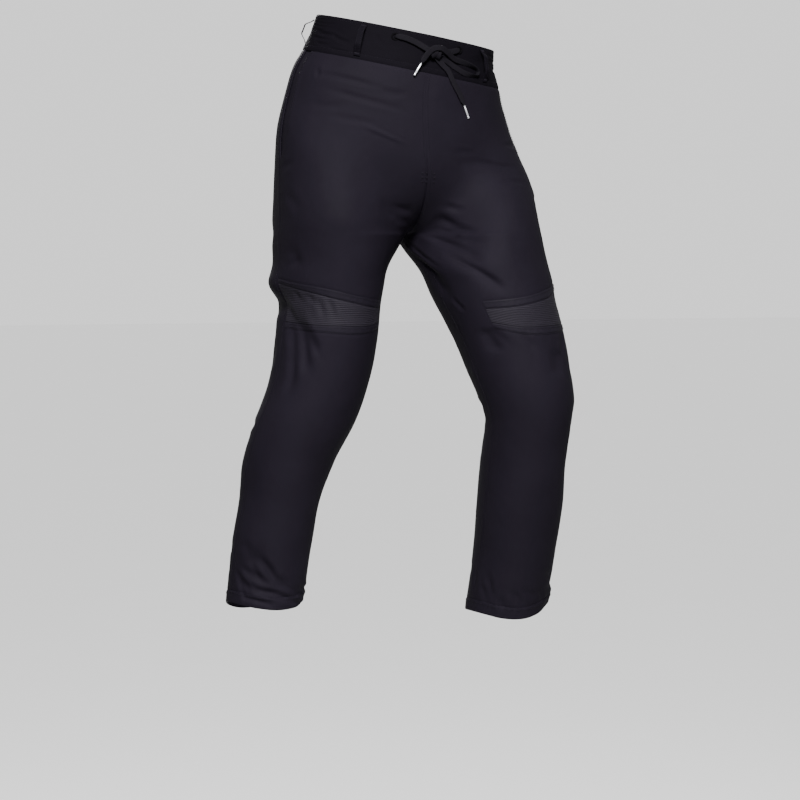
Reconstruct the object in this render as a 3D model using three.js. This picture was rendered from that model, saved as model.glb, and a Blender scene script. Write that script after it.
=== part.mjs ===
// Motorcycle trousers in the pose in which they are worn: a hollow shell of sewn cloth pieces.
// Millimetres. +Z is up, +X the wearer's left and -Y the front.
// The origin is the centre of the waistband's ring.
import * as THREE from 'three';

// Cloth and seams
const CLOTH = 2;
const BAND_CLOTH = 3;
const HEM_CLOTH = 2.6;
const SEAM_GAP = 0.3;
const HALF_GAP = SEAM_GAP / 2;

// Heights, as drops below the origin
const RIM_DROP = -26;
const WAIST_DROP = 28;
const CROTCH_DROP = 264;
const CROTCH_RISE_OUTSIDE = 36;
const HEM_HEIGHT = 18;

// The crotch point lies this far in front of the origin
const CROTCH_FORWARD = -5;
// The centre seam starts to curve under the body at this drop
const SEAT_CURVE_START = 150;

// How far the waist leans: its left side and its front are the lower ones
const LEAN_LEFT = Math.tan(THREE.MathUtils.degToRad(9.3));
const LEAN_FRONT = Math.tan(THREE.MathUtils.degToRad(6.9));
const LEAN_END_DROP = 230;

// Knee insert: where it ends towards the inseam, as a share of the turn round the leg
const KNEE_TIP = 0.12;
const KNEE_RIBS = 12;
const KNEE_RIB_HEIGHT = 1.1;

// Pocket mouth: its line as a share of the turn, and the drops of its lower end
const POCKET_TURN = 0.445;
const POCKET_END = { front: 138, side: 165 };

// Body round the hips: centre to the left, half width, depth in front and behind
const HIPS = table(['drop', 'left', 'half', 'front', 'back'], [
  [-26, 6, 131, 98, 100],
  [0, 1, 134, 102, 106],
  [28, -1, 144.5, 108, 116],
  [50, -5, 153, 111, 124],
  [70, -6.5, 159.5, 112, 130],
  [128, -6, 176, 115, 145],
  [186, -1, 184, 114, 149],
  [236, 3, 189, 110, 142],
  [300, 3, 190, 106, 132],
]);

// Legs: centre outwards and forwards, half widths, depths, and how far the leg is turned out
const LEG_COLUMNS = ['drop', 'out', 'forward', 'outer', 'inner', 'front', 'back', 'turned'];
const RIGHT_LEG = table(LEG_COLUMNS, [
  [90, 100, 6, 84, 100, 108, 146, 0],
  [240, 106, 6, 80, 96, 106, 138, -2],
  [272, 108, 5, 80, 84, 103, 128, -3],
  [302, 109, 5, 79, 76, 99, 115, -5],
  [331, 113, 5, 78, 74, 94, 106, -7],
  [359, 114, 7, 69, 70, 89, 99, -8],
  [416, 119, 9, 69, 70, 81, 88, -10],
  [473, 129, 8, 69, 70, 76, 80, -10],
  [530, 148, 2, 72, 71, 72, 76, -10],
  [588, 169, -8, 65, 64, 65, 77, -10],
  [645, 180, -17, 57, 55, 59, 70, -10],
  [702, 189, -24, 57, 57, 58, 62, -10],
  [800, 200, -33, 55, 53, 56, 58, -10],
]);
const LEFT_LEG = table(LEG_COLUMNS, [
  [90, 92, 10, 92, 94, 108, 150, 0],
  [240, 94, 42, 88, 92, 106, 148, 2],
  [272, 95, 53, 90, 88, 105, 132, 3],
  [302, 97, 63, 92, 86, 104, 120, 5],
  [331, 105, 73, 88, 84, 101, 112, 7],
  [359, 110, 83, 83, 80, 97, 105, 8],
  [416, 125, 103, 75, 73, 87, 94, 10],
  [472, 136, 123, 69, 67, 76, 83, 10],
  [500, 141, 129, 66, 63, 71, 78, 10],
  [529, 143, 130, 60, 57, 66, 75, 10],
  [586, 142, 118, 58, 56, 62, 77, 10],
  [645, 143, 103, 60, 57, 63, 74, 10],
  [733, 142, 77, 60, 55, 61, 64, 10],
  [820, 137, 51, 59, 54, 58, 58, 10],
]);

// Edges of the knee insert and its trims, as drops along the turn from the inseam to the outseam
const KNEE_LINES = table(['turn', 'trimTop', 'top', 'bottom', 'trimBottom'], [
  [0.12, 358, 369, 388, 396],
  [0.2, 354.5, 366, 394, 404],
  [0.26, 350, 361, 394, 405],
  [0.32, 343, 355, 393, 403],
  [0.38, 337, 347.5, 392, 401],
  [0.44, 332, 340, 390, 399],
  [0.5, 327, 333, 388, 396],
]);

// The largest folds, each from one place to another on a side; a depth below zero is a ridge
const FOLDS = namedRows(['side', 'turn', 'drop', 'toTurn', 'toDrop', 'width', 'depth'], [
  ['left', 0.05, 246, 0.19, 277, 11, 4.5],
  ['left', 0.09, 265, 0.17, 299, 11, 4.5],
  ['left', 0.1, 290, 0.18, 341, 12, 4],
  ['left', -0.02, 295, 0.02, 355, 12, 4],
  ['left', 0.1, 156, 0.31, 165, 11, 2.5],
  ['left', 0.09, 398, 0.1, 428, 11, 4],
  ['left', 0.3, 428, 0.28, 462, 11, 3],
  ['left', 0.62, 508, 0.9, 522, 12, 5],
  ['left', 0.6, 545, 0.88, 540, 12, 5],
  ['left', 0.43, 772, 0.44, 804, 16, -5],
  ['right', 0.03, 232, 0.16, 229, 11, 2.5],
  ['right', 0.49, 369, 0.4, 452, 11, 4.5],
  ['right', 0.45, 386, 0.37, 430, 10, 3.5],
  ['right', 0.49, 366, 0.63, 369, 11, 6],
  ['right', 0.5, 337, 0.62, 335, 14, -4],
  ['right', 0.62, 515, 0.9, 528, 12, 4.5],
  ['right', 0.6, 552, 0.88, 548, 12, 4.5],
  ['right', 0.42, 716, 0.3, 750, 11, 4],
  ['right', 0.42, 748, 0.24, 770, 11, 3.5],
  ['right', 0.56, 262, 0.8, 288, 13, 4],
  ['left', 0.56, 262, 0.8, 290, 13, 4],
]);

const foldsOf = (name) => FOLDS.filter((fold) => fold.side === name);
const SIDES = {
  right: { sign: -1, leg: RIGHT_LEG, folds: foldsOf('right'), hem: 790, hemRise: 0, sag: [8, 20] },
  left: { sign: 1, leg: LEFT_LEG, folds: foldsOf('left'), hem: 808, hemRise: 10, sag: [13, 10] },
};

// Belt loops: their width and cloth, and the band's usual radius under them
const LOOP = { width: 9.5, cloth: 1.8, reach: 130 };
// Where each loop sits on the band, its upper and lower ends, and how far it bows off the band
const LOOPS = namedRows(['name', 'angle', 'top', 'bottom', 'bow'], [
  ['front_R', -42, -22, 24, 9],
  ['front_L', 42, -22, 24, 9],
  ['side_R', -105, -18, 18, 10],
  ['side_L', 105, -18, 18, 10],
  ['back', 180, -22, 24, 8],
]);

// Drawstring: a flat lace, here a round tube along the same route
const EYELET = { angle: 21, drop: -13, outer: 6, inner: 3, height: 1.2 };
const LACE_RADIUS = 1.8;
const LACE_STEP = 7;
const AGLET = { radius: 1.7, length: 19.5 };
const KNOT = { centre: [9.5, -108.8, -12.5], radii: [11, 6.5, 7] };
const LACES = {
  R_in: [
    [-46.35, -96.42, 9.88], [-38.45, -99.15, 8.9], [-30.5, -101, 7], [-17.5, -104, 1.5], [-8, -106.2, -4],
    [-1.2, -108, -8.2],
  ],
  R_end: [
    [13.5, -107.5, -20.8], [16, -107.2, -23.5], [20, -107, -27.5], [30, -107.3, -37.5], [35.5, -108, -49],
    [41.5, -107.8, -60], [48, -107, -70.5], [51.5, -106.5, -77.5], [54.3, -106, -84.3],
  ],
  L_in: [[51, -97, -6], [45, -99, -8], [38.5, -101, -9.5], [29, -104, -11], [21.4, -106.8, -12]],
  L_loop: [
    [19.5, -107.5, -18.2], [25, -106, -21.5], [32, -104, -25.5], [44, -102, -32.5], [58.5, -99, -39.5],
    [72, -94, -42], [79.5, -89.5, -40.5], [82, -87, -36], [79.5, -87.8, -32], [72.5, -90.5, -28.5],
    [55.5, -97, -23.5], [40, -103, -19.5], [27, -110.5, -11.5], [16, -115.5, -6.5], [5, -116.5, -7.5],
    [-3, -115, -14], [-8, -113.8, -20.5], [-13, -113.4, -28.5],
  ],
};

// Rows of a table as smooth functions of its first column
function table(columns, rows) {
  const knots = rows.map((row) => row[0]);
  const tracks = {};
  columns.slice(1).forEach((name, index) => {
    const values = rows.map((row) => row[index + 1]);
    tracks[name] = (at) => smoothTrack(knots, values, at);
  });
  return tracks;
}

// Rows of a table as records named after its columns
function namedRows(columns, rows) {
  return rows.map((row) => Object.fromEntries(columns.map((name, index) => [name, row[index]])));
}

function smoothTrack(knots, values, at) {
  const last = knots.length - 1;
  if (at <= knots[0]) return values[0];
  if (at >= knots[last]) return values[last];
  let i = 0;
  while (at > knots[i + 1]) i += 1;
  const span = knots[i + 1] - knots[i];
  const s = (at - knots[i]) / span;
  const slopeHere = slope(knots, values, i) * span;
  const slopeNext = slope(knots, values, i + 1) * span;
  const rise = values[i + 1] - values[i];
  const square = 3 * rise - 2 * slopeHere - slopeNext;
  const cube = slopeHere + slopeNext - 2 * rise;
  return values[i] + s * (slopeHere + s * (square + s * cube));
}

function slope(knots, values, i) {
  const before = Math.max(i - 1, 0);
  const after = Math.min(i + 1, knots.length - 1);
  return (values[after] - values[before]) / (knots[after] - knots[before]);
}

function smooth(s) {
  const c = Math.min(Math.max(s, 0), 1);
  return c * c * (3 - 2 * c);
}

function mix(a, b, s) {
  return a + (b - a) * s;
}

// A point of the hips' outline; turn runs from the centre front, 0, by the side, 0.5, to the centre back, 1
function hipPoint(side, turn, drop) {
  const angle = Math.PI * turn;
  const depth = mix(HIPS.front(drop), HIPS.back(drop), smooth((turn - 0.25) / 0.5));
  return {
    out: side.sign * HIPS.left(drop) + HIPS.half(drop) * Math.sin(angle),
    forward: depth * Math.cos(angle),
  };
}

// A point of the leg's ring; turn runs from the inseam, 0, by the front, the outseam, 0.5, and the back
function legPoint(side, turn, drop) {
  const leg = side.leg;
  const angle = 2 * Math.PI * turn;
  const width = mix(leg.inner(drop), leg.outer(drop), (1 - Math.cos(angle)) / 2);
  const depth = mix(leg.back(drop), leg.front(drop), (1 + Math.sin(angle)) / 2);
  const across = -Math.cos(angle) * width;
  const along = Math.sin(angle) * depth;
  const turned = THREE.MathUtils.degToRad(leg.turned(drop));
  return {
    out: leg.out(drop) + across * Math.cos(turned) + along * Math.sin(turned),
    forward: leg.forward(drop) - across * Math.sin(turned) + along * Math.cos(turned),
  };
}

// How much of the leg's form a point has, from 0 at the waist to 1 below the crotch
function legShare(turn, drop) {
  const fromSeam = Math.min(turn, 1 - turn);
  const curve = Math.min(Math.max((drop - SEAT_CURVE_START) / (CROTCH_DROP - SEAT_CURVE_START), 0), 1);
  const atSeam = 1 - Math.sqrt(1 - curve * curve);
  const atSide = smooth((drop - 90) / 170);
  return mix(atSeam, atSide, smooth(fromSeam / 0.3));
}

function blendPoint(side, turn, drop) {
  const share = legShare(turn, drop);
  const hip = hipPoint(side, turn, drop);
  const leg = legPoint(side, turn, drop);
  return { out: mix(hip.out, leg.out, share), forward: mix(hip.forward, leg.forward, share) };
}

// The centre seam, from the waist in front, under the crotch and up behind
function centreSeam(side, turn, drop) {
  const share = legShare(0, drop);
  const depth = turn < 0.5 ? HIPS.front(drop) : -HIPS.back(drop);
  return {
    out: mix(side.sign * HIPS.left(drop), 0, share) + HALF_GAP,
    forward: mix(depth, CROTCH_FORWARD, share),
  };
}

// The trousers' surface without its folds
function bodySurface(side, turn, drop) {
  const point = blendPoint(side, turn, drop);
  const height = Math.min(drop, CROTCH_DROP);
  const seam = centreSeam(side, turn, height);
  const edge = blendPoint(side, turn < 0.5 ? 0 : 1, height);
  const pull = (1 - smooth(Math.min(turn, 1 - turn) / 0.26)) * (1 - smooth((drop - CROTCH_DROP) / 60));
  const out = point.out + pull * (seam.out - edge.out);
  const forward = point.forward + pull * (seam.forward - edge.forward);
  return place(side.sign * out, -forward, drop);
}

// Puts a drop at its height, with the waist's lean
function place(x, y, drop) {
  const lean = 1 - smooth((drop - WAIST_DROP) / (LEAN_END_DROP - WAIST_DROP));
  return new THREE.Vector3(x, y, -drop + lean * (y * LEAN_FRONT - x * LEAN_LEFT));
}

// The surface's outward direction, level across the centre seam
function bodyNormal(side, turn, drop) {
  const onCentre = drop <= CROTCH_DROP && (turn < 1e-6 || turn > 1 - 1e-6);
  if (onCentre && drop > CROTCH_DROP - 0.5) return new THREE.Vector3(0, 0, -1);
  const reach = 0.004;
  const wrap = (t) => (drop > CROTCH_DROP ? (t + 1) % 1 : Math.min(Math.max(t, 0), 1));
  const across = bodySurface(side, wrap(turn + reach), drop);
  across.sub(bodySurface(side, wrap(turn - reach), drop));
  const stepUp = Math.min(2, Math.abs(drop - CROTCH_DROP) + 0.2);
  const down = bodySurface(side, turn, drop + (onCentre ? Math.min(stepUp, CROTCH_DROP - drop) : 2));
  down.sub(bodySurface(side, turn, drop - 2));
  const normal = new THREE.Vector3().crossVectors(down, across).multiplyScalar(side.sign);
  if (onCentre) normal.x = 0;
  return normal.normalize();
}

// How far the cloth stands off the plain surface, from the folds that pass near
function relief(side, turn, drop) {
  const girth = mix(540, 360, smooth((drop - CROTCH_DROP) / 240));
  let height = 0;
  side.folds.forEach((fold) => {
    let across = turn - fold.turn;
    if (drop > CROTCH_DROP && across > 0.5) across -= 1;
    const run = (fold.toTurn - fold.turn) * girth;
    const fall = fold.toDrop - fold.drop;
    const along = (across * girth * run + (drop - fold.drop) * fall) / (run * run + fall * fall);
    const nearest = Math.min(Math.max(along, 0), 1);
    const away = Math.hypot(across * girth - nearest * run, drop - fold.drop - nearest * fall);
    const ends = smooth(Math.min(along + 0.15, 1.15 - along) / 0.4);
    height -= fold.depth * Math.exp(-((away / fold.width) ** 2)) * ends;
  });
  const nearCentre = drop < CROTCH_DROP + 20 ? smooth(Math.min(turn, 1 - turn) / 0.05) : 1;
  return height * nearCentre;
}

// A point of the cloth with its outward direction, raised off the surface by lift
function clothPoint(side, turn, drop, lift = 0) {
  const normal = bodyNormal(side, turn, drop);
  const point = bodySurface(side, turn, drop).addScaledVector(normal, lift + relief(side, turn, drop));
  return { point, normal };
}

// A closed wall over a grid of cells; at(row, column) gives a pair of outer and inner points
function clothWall({ rows, columns, at, flip, closed = false, shown = () => true }) {
  const positions = [];
  const indices = [];
  const outerIndex = new Map();
  const count = closed ? columns : columns - 1;
  const vertex = (i, j) => {
    const key = i * columns + (j % columns);
    if (!outerIndex.has(key)) {
      const [outer, inner] = at(i, j % columns);
      outerIndex.set(key, positions.length / 3);
      positions.push(...outer.toArray(), ...inner.toArray());
    }
    return outerIndex.get(key);
  };
  const isShown = (i, j) => {
    const column = closed ? (j + columns) % columns : j;
    return i >= 0 && i < rows - 1 && column >= 0 && column < count && shown(i, column);
  };
  for (let i = 0; i < rows - 1; i += 1) {
    for (let j = 0; j < count; j += 1) {
      if (!isShown(i, j)) continue;
      const corners = [[i, j, -1, 0], [i, j + 1, 0, 1], [i + 1, j + 1, 1, 0], [i + 1, j, 0, -1]];
      const points = corners.map(([row, column]) => vertex(row, column));
      const ring = flip ? points : [...points].reverse();
      indices.push(ring[0], ring[1], ring[2], ring[0], ring[2], ring[3]);
      indices.push(ring[0] + 1, ring[2] + 1, ring[1] + 1, ring[0] + 1, ring[3] + 1, ring[2] + 1);
      corners.forEach(([, , di, dj], side) => {
        if (isShown(i + di, j + dj)) return;
        const from = points[side];
        const to = points[(side + 1) % 4];
        const [u, v] = flip ? [from, to] : [to, from];
        indices.push(v, u, u + 1, v, u + 1, v + 1);
      });
    }
  }
  const geometry = new THREE.BufferGeometry();
  geometry.setAttribute('position', new THREE.Float32BufferAttribute(positions, 3));
  geometry.setIndex(indices);
  geometry.computeVertexNormals();
  return geometry;
}

// Colours and finishes
const finishes = {
  cloth: new THREE.MeshStandardMaterial({ color: 0x1d1b21, roughness: 0.85, metalness: 0 }),
  rib: new THREE.MeshStandardMaterial({ color: 0x2a282e, roughness: 0.7, metalness: 0 }),
  lace: new THREE.MeshStandardMaterial({ color: 0x1a181d, roughness: 0.9, metalness: 0 }),
  metal: new THREE.MeshStandardMaterial({ color: 0xb9b9bd, roughness: 0.3, metalness: 1 }),
};

const trousers = new THREE.Group();

function addPiece(name, geometry, finish) {
  const mesh = new THREE.Mesh(geometry, finish);
  mesh.name = name;
  trousers.add(mesh);
}

// Level lines that the rows of the fronts and backs run between
function crotchLine(turn) {
  return CROTCH_DROP - CROTCH_RISE_OUTSIDE * (1 - Math.cos(2 * Math.PI * turn)) / 2;
}

function pocketLine(turn) {
  return mix(POCKET_END.front, POCKET_END.side, smooth((turn - POCKET_TURN) / (0.5 - POCKET_TURN)));
}

function kneeLine(name, turn) {
  const t = turn > 0.5 ? 1 - turn : turn;
  return KNEE_LINES[name](Math.max(t, KNEE_TIP));
}

function hemLine(side, turn) {
  const sag = side.sag[turn < 0.5 ? 0 : 1] * Math.sin(2 * Math.PI * turn) ** 2;
  return side.hem - side.hemRise * (1 - Math.cos(2 * Math.PI * turn)) / 2 + sag;
}

// Rows of the fronts and backs: each band has its upper and lower line and its number of rows
function bandsOf(side) {
  return [
    { name: 'hip', from: () => WAIST_DROP + HALF_GAP, to: pocketLine, rows: 5 },
    { name: 'seat', from: pocketLine, to: crotchLine, rows: 6, curved: true },
    { name: 'thigh', from: crotchLine, to: (t) => kneeLine('trimTop', t) - HALF_GAP, rows: 4 },
    {
      name: 'knee',
      from: (t) => kneeLine('trimTop', t) - HALF_GAP,
      to: (t) => kneeLine('trimBottom', t) + HALF_GAP,
      rows: 3,
    },
    {
      name: 'shin',
      from: (t) => kneeLine('trimBottom', t) + HALF_GAP,
      to: (t) => hemLine(side, t) - HEM_HEIGHT - HALF_GAP,
      rows: 14,
    },
  ];
}

// The drop of each row at a turn, finer near the crotch where the centre seam curves under
function rowDrops(bands, turn) {
  const drops = [bands[0].from(turn)];
  const nearSeam = 1 - smooth(Math.min(turn, 1 - turn) / 0.25);
  bands.forEach((band) => {
    for (let k = 1; k <= band.rows; k += 1) {
      const s = k / band.rows;
      const eased = band.curved ? mix(s, Math.sin(s * Math.PI / 2), nearSeam) : s;
      drops.push(mix(band.from(turn), band.to(turn), eased));
    }
  });
  return drops;
}

function bandOfRow(bands, row) {
  let first = 0;
  for (const band of bands) {
    if (row < first + band.rows) return band.name;
    first += band.rows;
  }
  return '';
}

// A pair of wall points on a main piece, moved half a seam's gap from its neighbour
function panelPair(side, turn, drop, isFront) {
  const { point, normal } = clothPoint(side, turn, drop);
  const onEdge = turn < 1e-6 || turn > 1 - 1e-6 || Math.abs(turn - 0.5) < 1e-6;
  if (onEdge) point.y += isFront ? -HALF_GAP : HALF_GAP;
  return [point, point.clone().addScaledVector(normal, -CLOTH)];
}

const FRONT_TURNS = [0, 0.04, 0.08, KNEE_TIP, 0.17, 0.22, 0.27, 0.32, 0.37, 0.41, POCKET_TURN, 0.5];
const BACK_TURNS = [0.5, 0.55, 0.6, 0.65, 0.7, 0.75, 0.8, 0.85, 0.9, 0.95, 1];

function mainPiece(side, turns, isFront) {
  const bands = bandsOf(side);
  const drops = turns.map((turn) => rowDrops(bands, turn));
  const tip = turns.indexOf(KNEE_TIP);
  const mouth = turns.indexOf(POCKET_TURN);
  // The column beside the knee insert stops half a gap short of it
  const inKnee = (i) => bandOfRow(bands, i) === 'knee' && bandOfRow(bands, i - 1) === 'knee';
  const turnAt = (j, i) => (isFront && j === tip && inKnee(i) ? KNEE_TIP - 0.0004 : turns[j]);
  return clothWall({
    rows: drops[0].length,
    columns: turns.length,
    flip: side.sign < 0,
    at: (i, j) => panelPair(side, turnAt(j, i), drops[j][i], isFront),
    shown: (i, j) => {
      const band = bandOfRow(bands, i);
      if (!isFront) return true;
      if (band === 'knee') return j < tip;
      return !(band === 'hip' && j === mouth);
    },
  });
}

// A strip between two lines of drops, with a number of rows; rise(row) lifts the outer points
function insetStrip(side, turns, from, to, rows, rise = () => 0) {
  return clothWall({
    rows: rows + 1,
    columns: turns.length,
    flip: side.sign < 0,
    at: (i, j) => {
      const inset = j === 0 ? 0.0004 : 0;
      const drop = mix(from(turns[j]) + HALF_GAP, to(turns[j]) - HALF_GAP, i / rows);
      const turn = turns[j] + inset;
      const { point, normal } = clothPoint(side, turn, drop);
      if (j === turns.length - 1) point.y -= HALF_GAP;
      const inner = point.clone().addScaledVector(normal, -CLOTH);
      return [point.addScaledVector(normal, rise(i)), inner];
    },
  });
}

const KNEE_TURNS = [KNEE_TIP, 0.17, 0.22, 0.27, 0.32, 0.37, 0.41, POCKET_TURN, 0.5];

function addKnee(side, suffix) {
  const line = (name) => (turn) => kneeLine(name, turn);
  const strip = (from, to, rows, rise) => insetStrip(side, KNEE_TURNS, line(from), line(to), rows, rise);
  const rib = (i) => (i % 2 === 1 ? KNEE_RIB_HEIGHT : 0);
  addPiece(`knee_trim_top_${suffix}`, strip('trimTop', 'top', 1), finishes.cloth);
  addPiece(`knee_panel_${suffix}`, strip('top', 'bottom', 2 * KNEE_RIBS, rib), finishes.rib);
  addPiece(`knee_trim_low_${suffix}`, strip('bottom', 'trimBottom', 1), finishes.cloth);
}

// The facing lies under the front's edge at the pocket mouth, on the same rows and columns
function pocketFacing(side) {
  const turns = [0.41, POCKET_TURN, 0.5];
  const bands = bandsOf(side);
  const rows = bands[0].rows + 1;
  const drops = turns.map((turn) => rowDrops(bands, turn));
  const under = CLOTH + 2 * SEAM_GAP;
  return clothWall({
    rows: rows + 1,
    columns: turns.length,
    flip: side.sign < 0,
    at: (i, j) => {
      const { point, normal } = clothPoint(side, turns[j], drops[j][i], -under);
      if (j === turns.length - 1) point.y -= HALF_GAP;
      return [point, point.clone().addScaledVector(normal, -CLOTH)];
    },
  });
}

// The hem goes all round the leg, on the same columns as the pieces above it
function hemRing(side) {
  const turns = [...FRONT_TURNS, ...BACK_TURNS.slice(1, -1)];
  const rows = 2;
  return clothWall({
    rows: rows + 1,
    columns: turns.length,
    closed: true,
    flip: side.sign < 0,
    at: (i, j) => {
      const turn = turns[j];
      const bottom = hemLine(side, turn);
      const drop = mix(bottom - HEM_HEIGHT + HALF_GAP, bottom, i / rows);
      const { point, normal } = clothPoint(side, turn, drop, 0.6);
      return [point, point.clone().addScaledVector(normal, -HEM_CLOTH)];
    },
  });
}

// A point of the waistband; its angle runs from the centre front to the wearer's left
function bandPoint(angle, drop, lift = 0) {
  const at = (a, d) => {
    const half = { sign: a >= 0 ? 1 : -1 };
    const point = hipPoint(half, Math.abs(a) / 180, d);
    return place(half.sign * point.out, -point.forward, d);
  };
  const across = at(angle + 1, drop).sub(at(angle - 1, drop));
  const down = at(angle, drop + 1).sub(at(angle, drop - 1));
  const normal = new THREE.Vector3().crossVectors(down, across).normalize();
  return { point: at(angle, drop).addScaledVector(normal, lift), normal };
}

function waistband() {
  const columns = 48;
  const rows = 3;
  return clothWall({
    rows: rows + 1,
    columns,
    closed: true,
    flip: false,
    at: (i, j) => {
      const angle = -179.9 + j * 360 / columns;
      const drop = mix(RIM_DROP, WAIST_DROP - HALF_GAP, i / rows);
      const { point, normal } = bandPoint(angle, drop, 0);
      return [point, point.clone().addScaledVector(normal, -BAND_CLOTH)];
    },
  });
}

// A strip down the band, flat on it at its ends and bowed off it between
function beltLoop({ angle, top, bottom, bow }) {
  const rows = 10;
  const halfTurn = THREE.MathUtils.radToDeg(LOOP.width / 2 / LOOP.reach);
  return clothWall({
    rows: rows + 1,
    columns: 2,
    flip: false,
    at: (i, j) => {
      const s = i / rows;
      const off = SEAM_GAP + 0.1 + smooth(Math.min(s, 1 - s) / 0.32) * bow;
      const { point, normal } = bandPoint(angle + (j * 2 - 1) * halfTurn, mix(top, bottom, s), off);
      return [point.clone().addScaledVector(normal, LOOP.cloth), point];
    },
  });
}

// A ring lying on the band, where the lace comes out
function eyelet(angle) {
  const shape = new THREE.Shape().absarc(0, 0, EYELET.outer, 0, 2 * Math.PI);
  shape.holes.push(new THREE.Path().absarc(0, 0, EYELET.inner, 0, 2 * Math.PI, true));
  const settings = { depth: EYELET.height, bevelEnabled: false, curveSegments: 12 };
  const geometry = new THREE.ExtrudeGeometry(shape, settings);
  const { point, normal } = bandPoint(angle, EYELET.drop, SEAM_GAP + 0.2);
  const turn = new THREE.Quaternion().setFromUnitVectors(new THREE.Vector3(0, 0, 1), normal);
  return geometry.applyQuaternion(turn).translate(...point.toArray());
}

function laceTube(route) {
  const points = route.map((point) => new THREE.Vector3(...point));
  const path = new THREE.CatmullRomCurve3(points, false, 'centripetal');
  const sides = 8;
  const section = new THREE.Shape();
  for (let k = 0; k < sides; k += 1) {
    const angle = 2 * Math.PI * k / sides;
    const corner = [LACE_RADIUS * Math.cos(angle), LACE_RADIUS * Math.sin(angle)];
    if (k === 0) section.moveTo(...corner);
    else section.lineTo(...corner);
  }
  const steps = Math.max(4, Math.round(path.getLength() / LACE_STEP));
  return new THREE.ExtrudeGeometry(section, { steps, extrudePath: path, bevelEnabled: false });
}

// A metal tip in line with the lace's last stretch
function aglet(route) {
  const last = new THREE.Vector3(...route.at(-1));
  const along = last.clone().sub(new THREE.Vector3(...route.at(-2))).normalize();
  const turn = new THREE.Quaternion().setFromUnitVectors(new THREE.Vector3(0, 1, 0), along);
  const centre = last.addScaledVector(along, SEAM_GAP + AGLET.length / 2);
  const geometry = new THREE.CylinderGeometry(AGLET.radius, AGLET.radius, AGLET.length, 10);
  return geometry.applyQuaternion(turn).translate(...centre.toArray());
}

function knot() {
  return new THREE.SphereGeometry(1, 16, 10).scale(...KNOT.radii).translate(...KNOT.centre);
}

for (const [name, side] of Object.entries(SIDES)) {
  const suffix = name === 'right' ? 'R' : 'L';
  addPiece(`front_${suffix}`, mainPiece(side, FRONT_TURNS, true), finishes.cloth);
  addPiece(`back_${suffix}`, mainPiece(side, BACK_TURNS, false), finishes.cloth);
  addPiece(`pocket_facing_${suffix}`, pocketFacing(side), finishes.cloth);
  addPiece(`hem_${suffix}`, hemRing(side), finishes.cloth);
  addKnee(side, suffix);
}
addPiece('waistband', waistband(), finishes.cloth);
for (const loop of LOOPS) {
  addPiece(`belt_loop_${loop.name}`, beltLoop(loop), finishes.cloth);
}
addPiece('eyelet_R', eyelet(-EYELET.angle), finishes.lace);
addPiece('eyelet_L', eyelet(EYELET.angle), finishes.lace);
for (const [name, route] of Object.entries(LACES)) {
  addPiece(`lace_${name}`, laceTube(route), finishes.lace);
}
addPiece('knot', knot(), finishes.lace);
addPiece('aglet_R', aglet(LACES.R_end), finishes.metal);
addPiece('aglet_L', aglet(LACES.L_loop), finishes.metal);

export default trousers;
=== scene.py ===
import math

import bpy
import numpy as np
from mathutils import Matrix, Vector


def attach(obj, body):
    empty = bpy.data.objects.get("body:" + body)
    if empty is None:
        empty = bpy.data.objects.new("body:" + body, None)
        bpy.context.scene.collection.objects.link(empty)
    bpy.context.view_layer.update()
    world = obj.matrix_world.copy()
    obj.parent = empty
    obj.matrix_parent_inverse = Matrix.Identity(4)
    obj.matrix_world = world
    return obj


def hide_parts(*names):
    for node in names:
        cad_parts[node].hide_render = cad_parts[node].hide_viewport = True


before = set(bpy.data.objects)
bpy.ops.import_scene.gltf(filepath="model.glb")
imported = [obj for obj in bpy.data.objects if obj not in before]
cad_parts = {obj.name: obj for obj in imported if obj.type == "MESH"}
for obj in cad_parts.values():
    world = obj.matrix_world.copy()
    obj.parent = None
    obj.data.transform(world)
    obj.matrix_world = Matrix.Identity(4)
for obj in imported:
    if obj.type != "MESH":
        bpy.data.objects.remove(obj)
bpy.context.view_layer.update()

# Lengths are millimetres until a mesh is made. The camera and the lamps are in metres
MM = 0.001

# The photograph's view: its turn in degrees, and where the camera stands and looks
VIEW_AZIMUTH = -20
VIEW_DISTANCE = 3.2
VIEW_SIDE = -0.0029
VIEW_HEIGHT = -0.299
VIEW_AIM_HEIGHT = -0.5041
VIEW_LENS = 99.3

# Thickness of the cloth and the gap at its seams, both smaller than the solids'
CLOTH = 1.3
BAND_CLOTH = 2.2
HEM_CLOTH = 2.2
SEAM_GAP = 0.06
HALF_GAP = SEAM_GAP / 2

# Heights as drops below the origin, the same as the solids'
RIM_DROP = -26
WAIST_DROP = 28
CROTCH_DROP = 264
CROTCH_RISE_OUTSIDE = 36
HEM_HEIGHT = 18
LEAN_END_DROP = 230
# The crotch point lies this far in front of the origin
CROTCH_FORWARD = -5
# The centre seam starts to curve under the body at this drop
SEAT_CURVE_START = 150
# How far the waist leans: its left side and its front are the lower ones
LEAN_LEFT = math.tan(math.radians(9.3))
LEAN_FRONT = math.tan(math.radians(6.9))
# Shares of the turn: the knee insert's end towards the inseam, the pocket mouth, and its facing's start
KNEE_TIP = 0.12
POCKET_TURN = 0.445
FACING_START = 0.41
# Drops of the mouth's lower end
POCKET_END = {"front": 138, "side": 165}
# Rough lengths of a whole turn: at the hips, and the ones that the folds' tables take at hips and shins
HIP_GIRTH = 560
FOLD_GIRTHS = (540, 360)

# Stitches, and how far the seams' sewing lies beside them
STITCH_PITCH = 3.4
STITCH_LENGTH = 2.5
STITCH_RADIUS = 0.3
SEAM_SEWING = 4.5
CENTRE_SEWING = 4.2
# The fly's tacks: their drops, and their side and distance from the centre seam
FLY_TACK_DROPS = (178, 184.5, 191)
FLY_TACK_PLACES = (("R", 8.3), ("R", 2.0), ("L", 9.3))


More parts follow.
